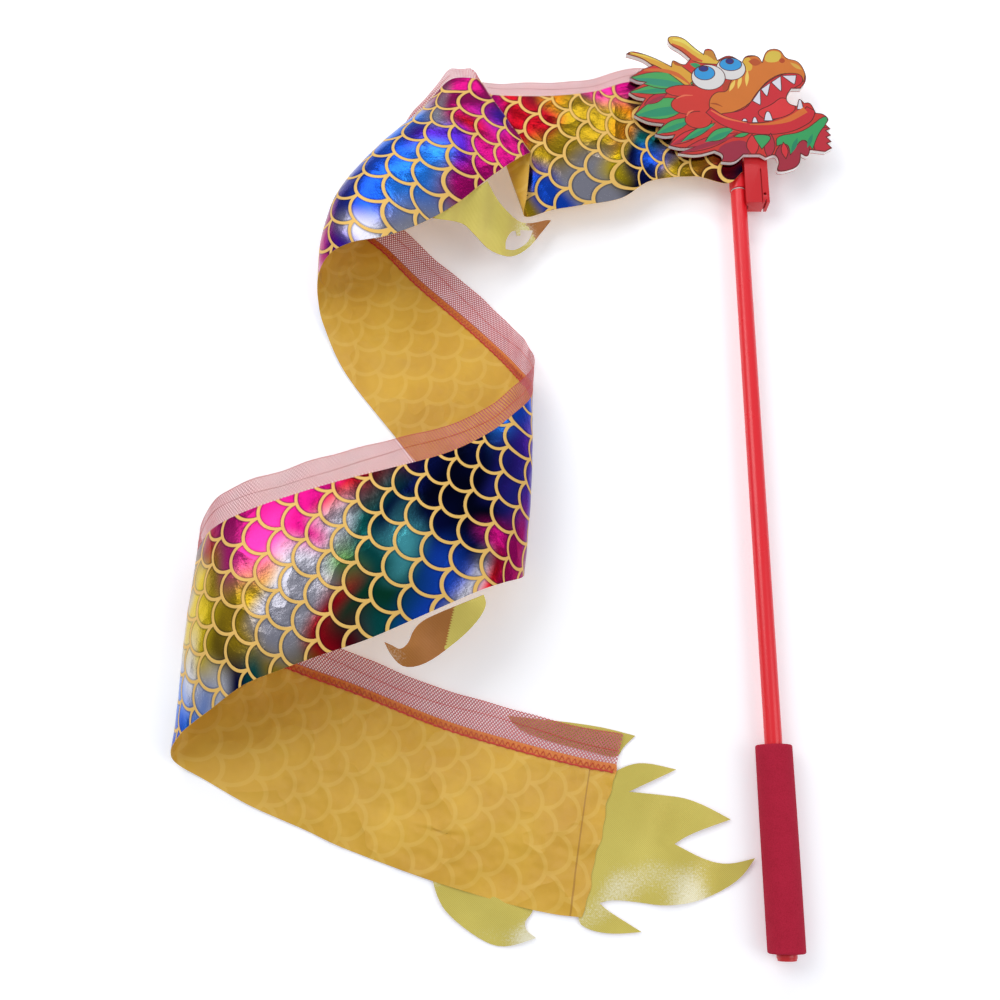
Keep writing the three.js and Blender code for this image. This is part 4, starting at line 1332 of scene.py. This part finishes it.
# the lower teeth: place, half width and height of each
for x, y, half_width, height in ((4.7, 539.5, 2.4, 2.8), (11.7, 538.5, 2.4, 5), (21, 540, 3.4, 8),
                                 (43.5, 549, 2.6, 9)):
    top = y + height
    patches.append(("E4E0E8", 1, rounded([
        (x - half_width, y, 1), (x - half_width / 2, top), (x + half_width / 2, top),
        (x + half_width, y, 1)])))
patches += [
    # the lower lip and the light along it
    ("D02A34", 1, stroke([(-20, 549), (-8, 539.5), (12, 534), (32, 536), (46, 543), (51, 550)],
                         [3, 4, 4.4, 5.5, 5.5, 3.5])),
    ("DE7030", 0, stroke([(8, 537.4), (22, 538), (35, 541.5), (47, 549)], [0.4, 1, 2, 2.4])),
    ("EC7244", 0, stroke([(-18, 548.5), (-8, 542.5), (6, 538.5)], [0.4, 0.9, 0.3])),
    # the beard: red behind, then the green and the tufts that hang under the lip
    ("A82A3C", 1, rounded([(24, 500), (36, 500), (42, 510), (49, 513), (46, 528), (28, 524),
                           (22, 512)])),
    ("C42C3A", 1, rounded([(48, 515), (64, 515), (66, 535), (54, 536)])),
    ("3AA45E", 1, leaf((-4, 527.5), (8, 530.5), 2)),
    ("D83438", 1, leaf((9, 530), (9, 512), 4.5)),
    ("B82C3C", 1, leaf((22, 531), (19, 510), 4)),
    ("3AA45E", 1, rounded([(9, 530), (25, 529), (15, 517.5, 1), (11, 525)])),
    ("34A45E", 1, rounded([
        (25, 529), (44, 531), (60, 546), (63, 540), (55, 531), (49.5, 517, 1), (44, 528),
        (34, 513, 1), (33, 523), (25, 520, 1)])),
    ("DC3038", 1, leaf((30, 524), (31, 510), 2.6)),
    ("1E8A62", 0, leaf((40, 527), (35, 515), 1.6)),
    ("1E8A62", 0, leaf((50.5, 530), (46, 519), 1.4)),
    # the far eye, then the near eye
    ("E2DEDA", 1, oval(-2.5, 582, 10.5, 9.5)),
    ("2E9AD8", 1, oval(-2.5, 585.5, 8, 5.5)),
    ("2A2E7C", 1, oval(-3, 588, 3, 2.5)),
    ("E2DEDA", 1, oval(-18.5, 575, 12, 10.5)),
    ("2E9AD8", 1, oval(-21, 578.5, 7.5, 6)),
    ("2A2E7C", 1, oval(-21.5, 582, 3.5, 2.5)),
]
INK_WIDTH = 0.6


def ring_inset(outline, by):
    """An outline moved inwards by a distance, corner by corner."""
    ahead = np.roll(outline, -1, 0) - outline
    behind = outline - np.roll(outline, 1, 0)
    ahead /= np.maximum(np.linalg.norm(ahead, axis=1, keepdims=True), 1e-9)
    behind /= np.maximum(np.linalg.norm(behind, axis=1, keepdims=True), 1e-9)
    area = (outline[:, 0] * np.roll(outline[:, 1], -1)
            - outline[:, 1] * np.roll(outline[:, 0], -1)).sum()
    middle = ahead + behind
    middle /= np.maximum(np.linalg.norm(middle, axis=1, keepdims=True), 1e-9)
    normal = np.column_stack([-middle[:, 1], middle[:, 0]]) * np.sign(area)
    stretch = np.maximum((middle * ahead).sum(1, keepdims=True), 0.5)
    return outline + normal * by / stretch


def edge_distance(points, outline):
    """Distance of each point to the nearest side of an outline."""
    a, b = outline, np.roll(outline, -1, 0)
    side = b - a
    t = ((points[:, None] - a) * side).sum(2) / np.maximum((side ** 2).sum(1), 1e-12)
    nearest = a + np.clip(t, 0, 1)[..., None] * side
    return np.linalg.norm(points[:, None] - nearest, axis=2).min(1)


def printed_face(patches):
    """A flat printed sheet: every patch and its ink line as triangles, with a colour for each."""
    base = HEAD
    rings = [base, ring_inset(base, INK_WIDTH)]
    for _, ink, outline in patches:
        rings.append(outline)
        if ink:
            rings.append(ring_inset(outline, INK_WIDTH))
    points, edges, start = [], [], 0
    for ring in rings:
        points += [tuple(q) for q in ring]
        edges += [(start + k, start + (k + 1) % len(ring)) for k in range(len(ring))]
        start += len(ring)
    made, _, faces, *_ = delaunay_2d_cdt(points, edges, [], 0, 1e-5)
    made = np.array([tuple(q) for q in made])
    faces = np.array([list(f) for f in faces])
    centre = made[faces].mean(1)
    good = inside(centre, base)
    faces, centre = faces[good], centre[good]
    used, faces = np.unique(faces, return_inverse=True)
    made, faces = made[used], faces.reshape(-1, 3)
    colour = np.tile(srgb("D0342C")[:3], (len(faces), 1))
    for fill, ink, outline in patches:
        within = inside(centre, outline)
        inked = within.copy()
        inked[within] = edge_distance(centre[within], outline) < INK_WIDTH * 0.92
        colour[within] = srgb(fill)[:3]
        if ink:
            colour[inked] = srgb(INK)[:3]
    colour[edge_distance(centre, base) < INK_WIDTH * 0.92] = srgb(INK)[:3]
    return made, faces, colour


def print_material(name):
    """Gloss-laminated print on card."""
    material, tree, shader = plain_material(name, "D8302A", 0.42)
    tint = tree.nodes.new("ShaderNodeAttribute")
    tint.attribute_name = "print"
    # The whole print is darkened by 10 to 20 per cent, more in cloudy patches.
    print_darkening = noise(tree, object_socket(tree), 90, 3)
    tree.links.new(mixed(tree, calc(tree, "MULTIPLY_ADD", print_darkening, 0.1, 0.1), tint.outputs["Color"],
                         srgb("3A1A14")), shader.inputs["Base Color"])
    shader.inputs["Specular IOR Level"].default_value = 0.25
    return material


PRINT = print_material("printed_card")
flat, triangles, colours = printed_face(patches)
for side, node, direction in (("front", "head_print_front", 1), ("back", "head_print_back", -1)):
    low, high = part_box(node)
    top = np.column_stack([flat * MM, np.full(len(flat), high[2] if direction > 0 else low[2])])
    under = np.column_stack([flat * MM, np.full(len(flat), low[2] if direction > 0 else high[2])])
    order = triangles if direction > 0 else triangles[:, ::-1]
    piece = closed_plate(f"face_{side}", flat * MM, order, top, under, [PRINT])
    mesh = piece.data
    layer = mesh.color_attributes.new("print", "FLOAT_COLOR", "CORNER")
    full = np.concatenate([np.repeat(colours, 3, axis=0)] * 2)
    rest = np.tile(srgb("D8302A")[:3], (len(mesh.loops) - len(full), 1))
    full = np.concatenate([full, rest])
    full = np.concatenate([full, np.ones((len(full), 1))], 1)
    layer.data.foreach_set("color", full.astype(np.float32).ravel())
    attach(piece, "head")
    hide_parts(node)


def card_material():
    """White foam board: soft, with a faint grain."""
    material, tree, shader = plain_material("white_board", "F4F2EE", 0.8)
    grain = noise(tree, object_socket(tree), 500, 3)
    tree.links.new(mixed(tree, grain, srgb("E8E5DE"), srgb("FBFAF7")), shader.inputs["Base Color"])
    bumped(tree, shader, grain, 0.3, 0.0001)
    return material


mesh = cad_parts["head_board"].data
mesh.materials.clear()
mesh.materials.append(card_material())
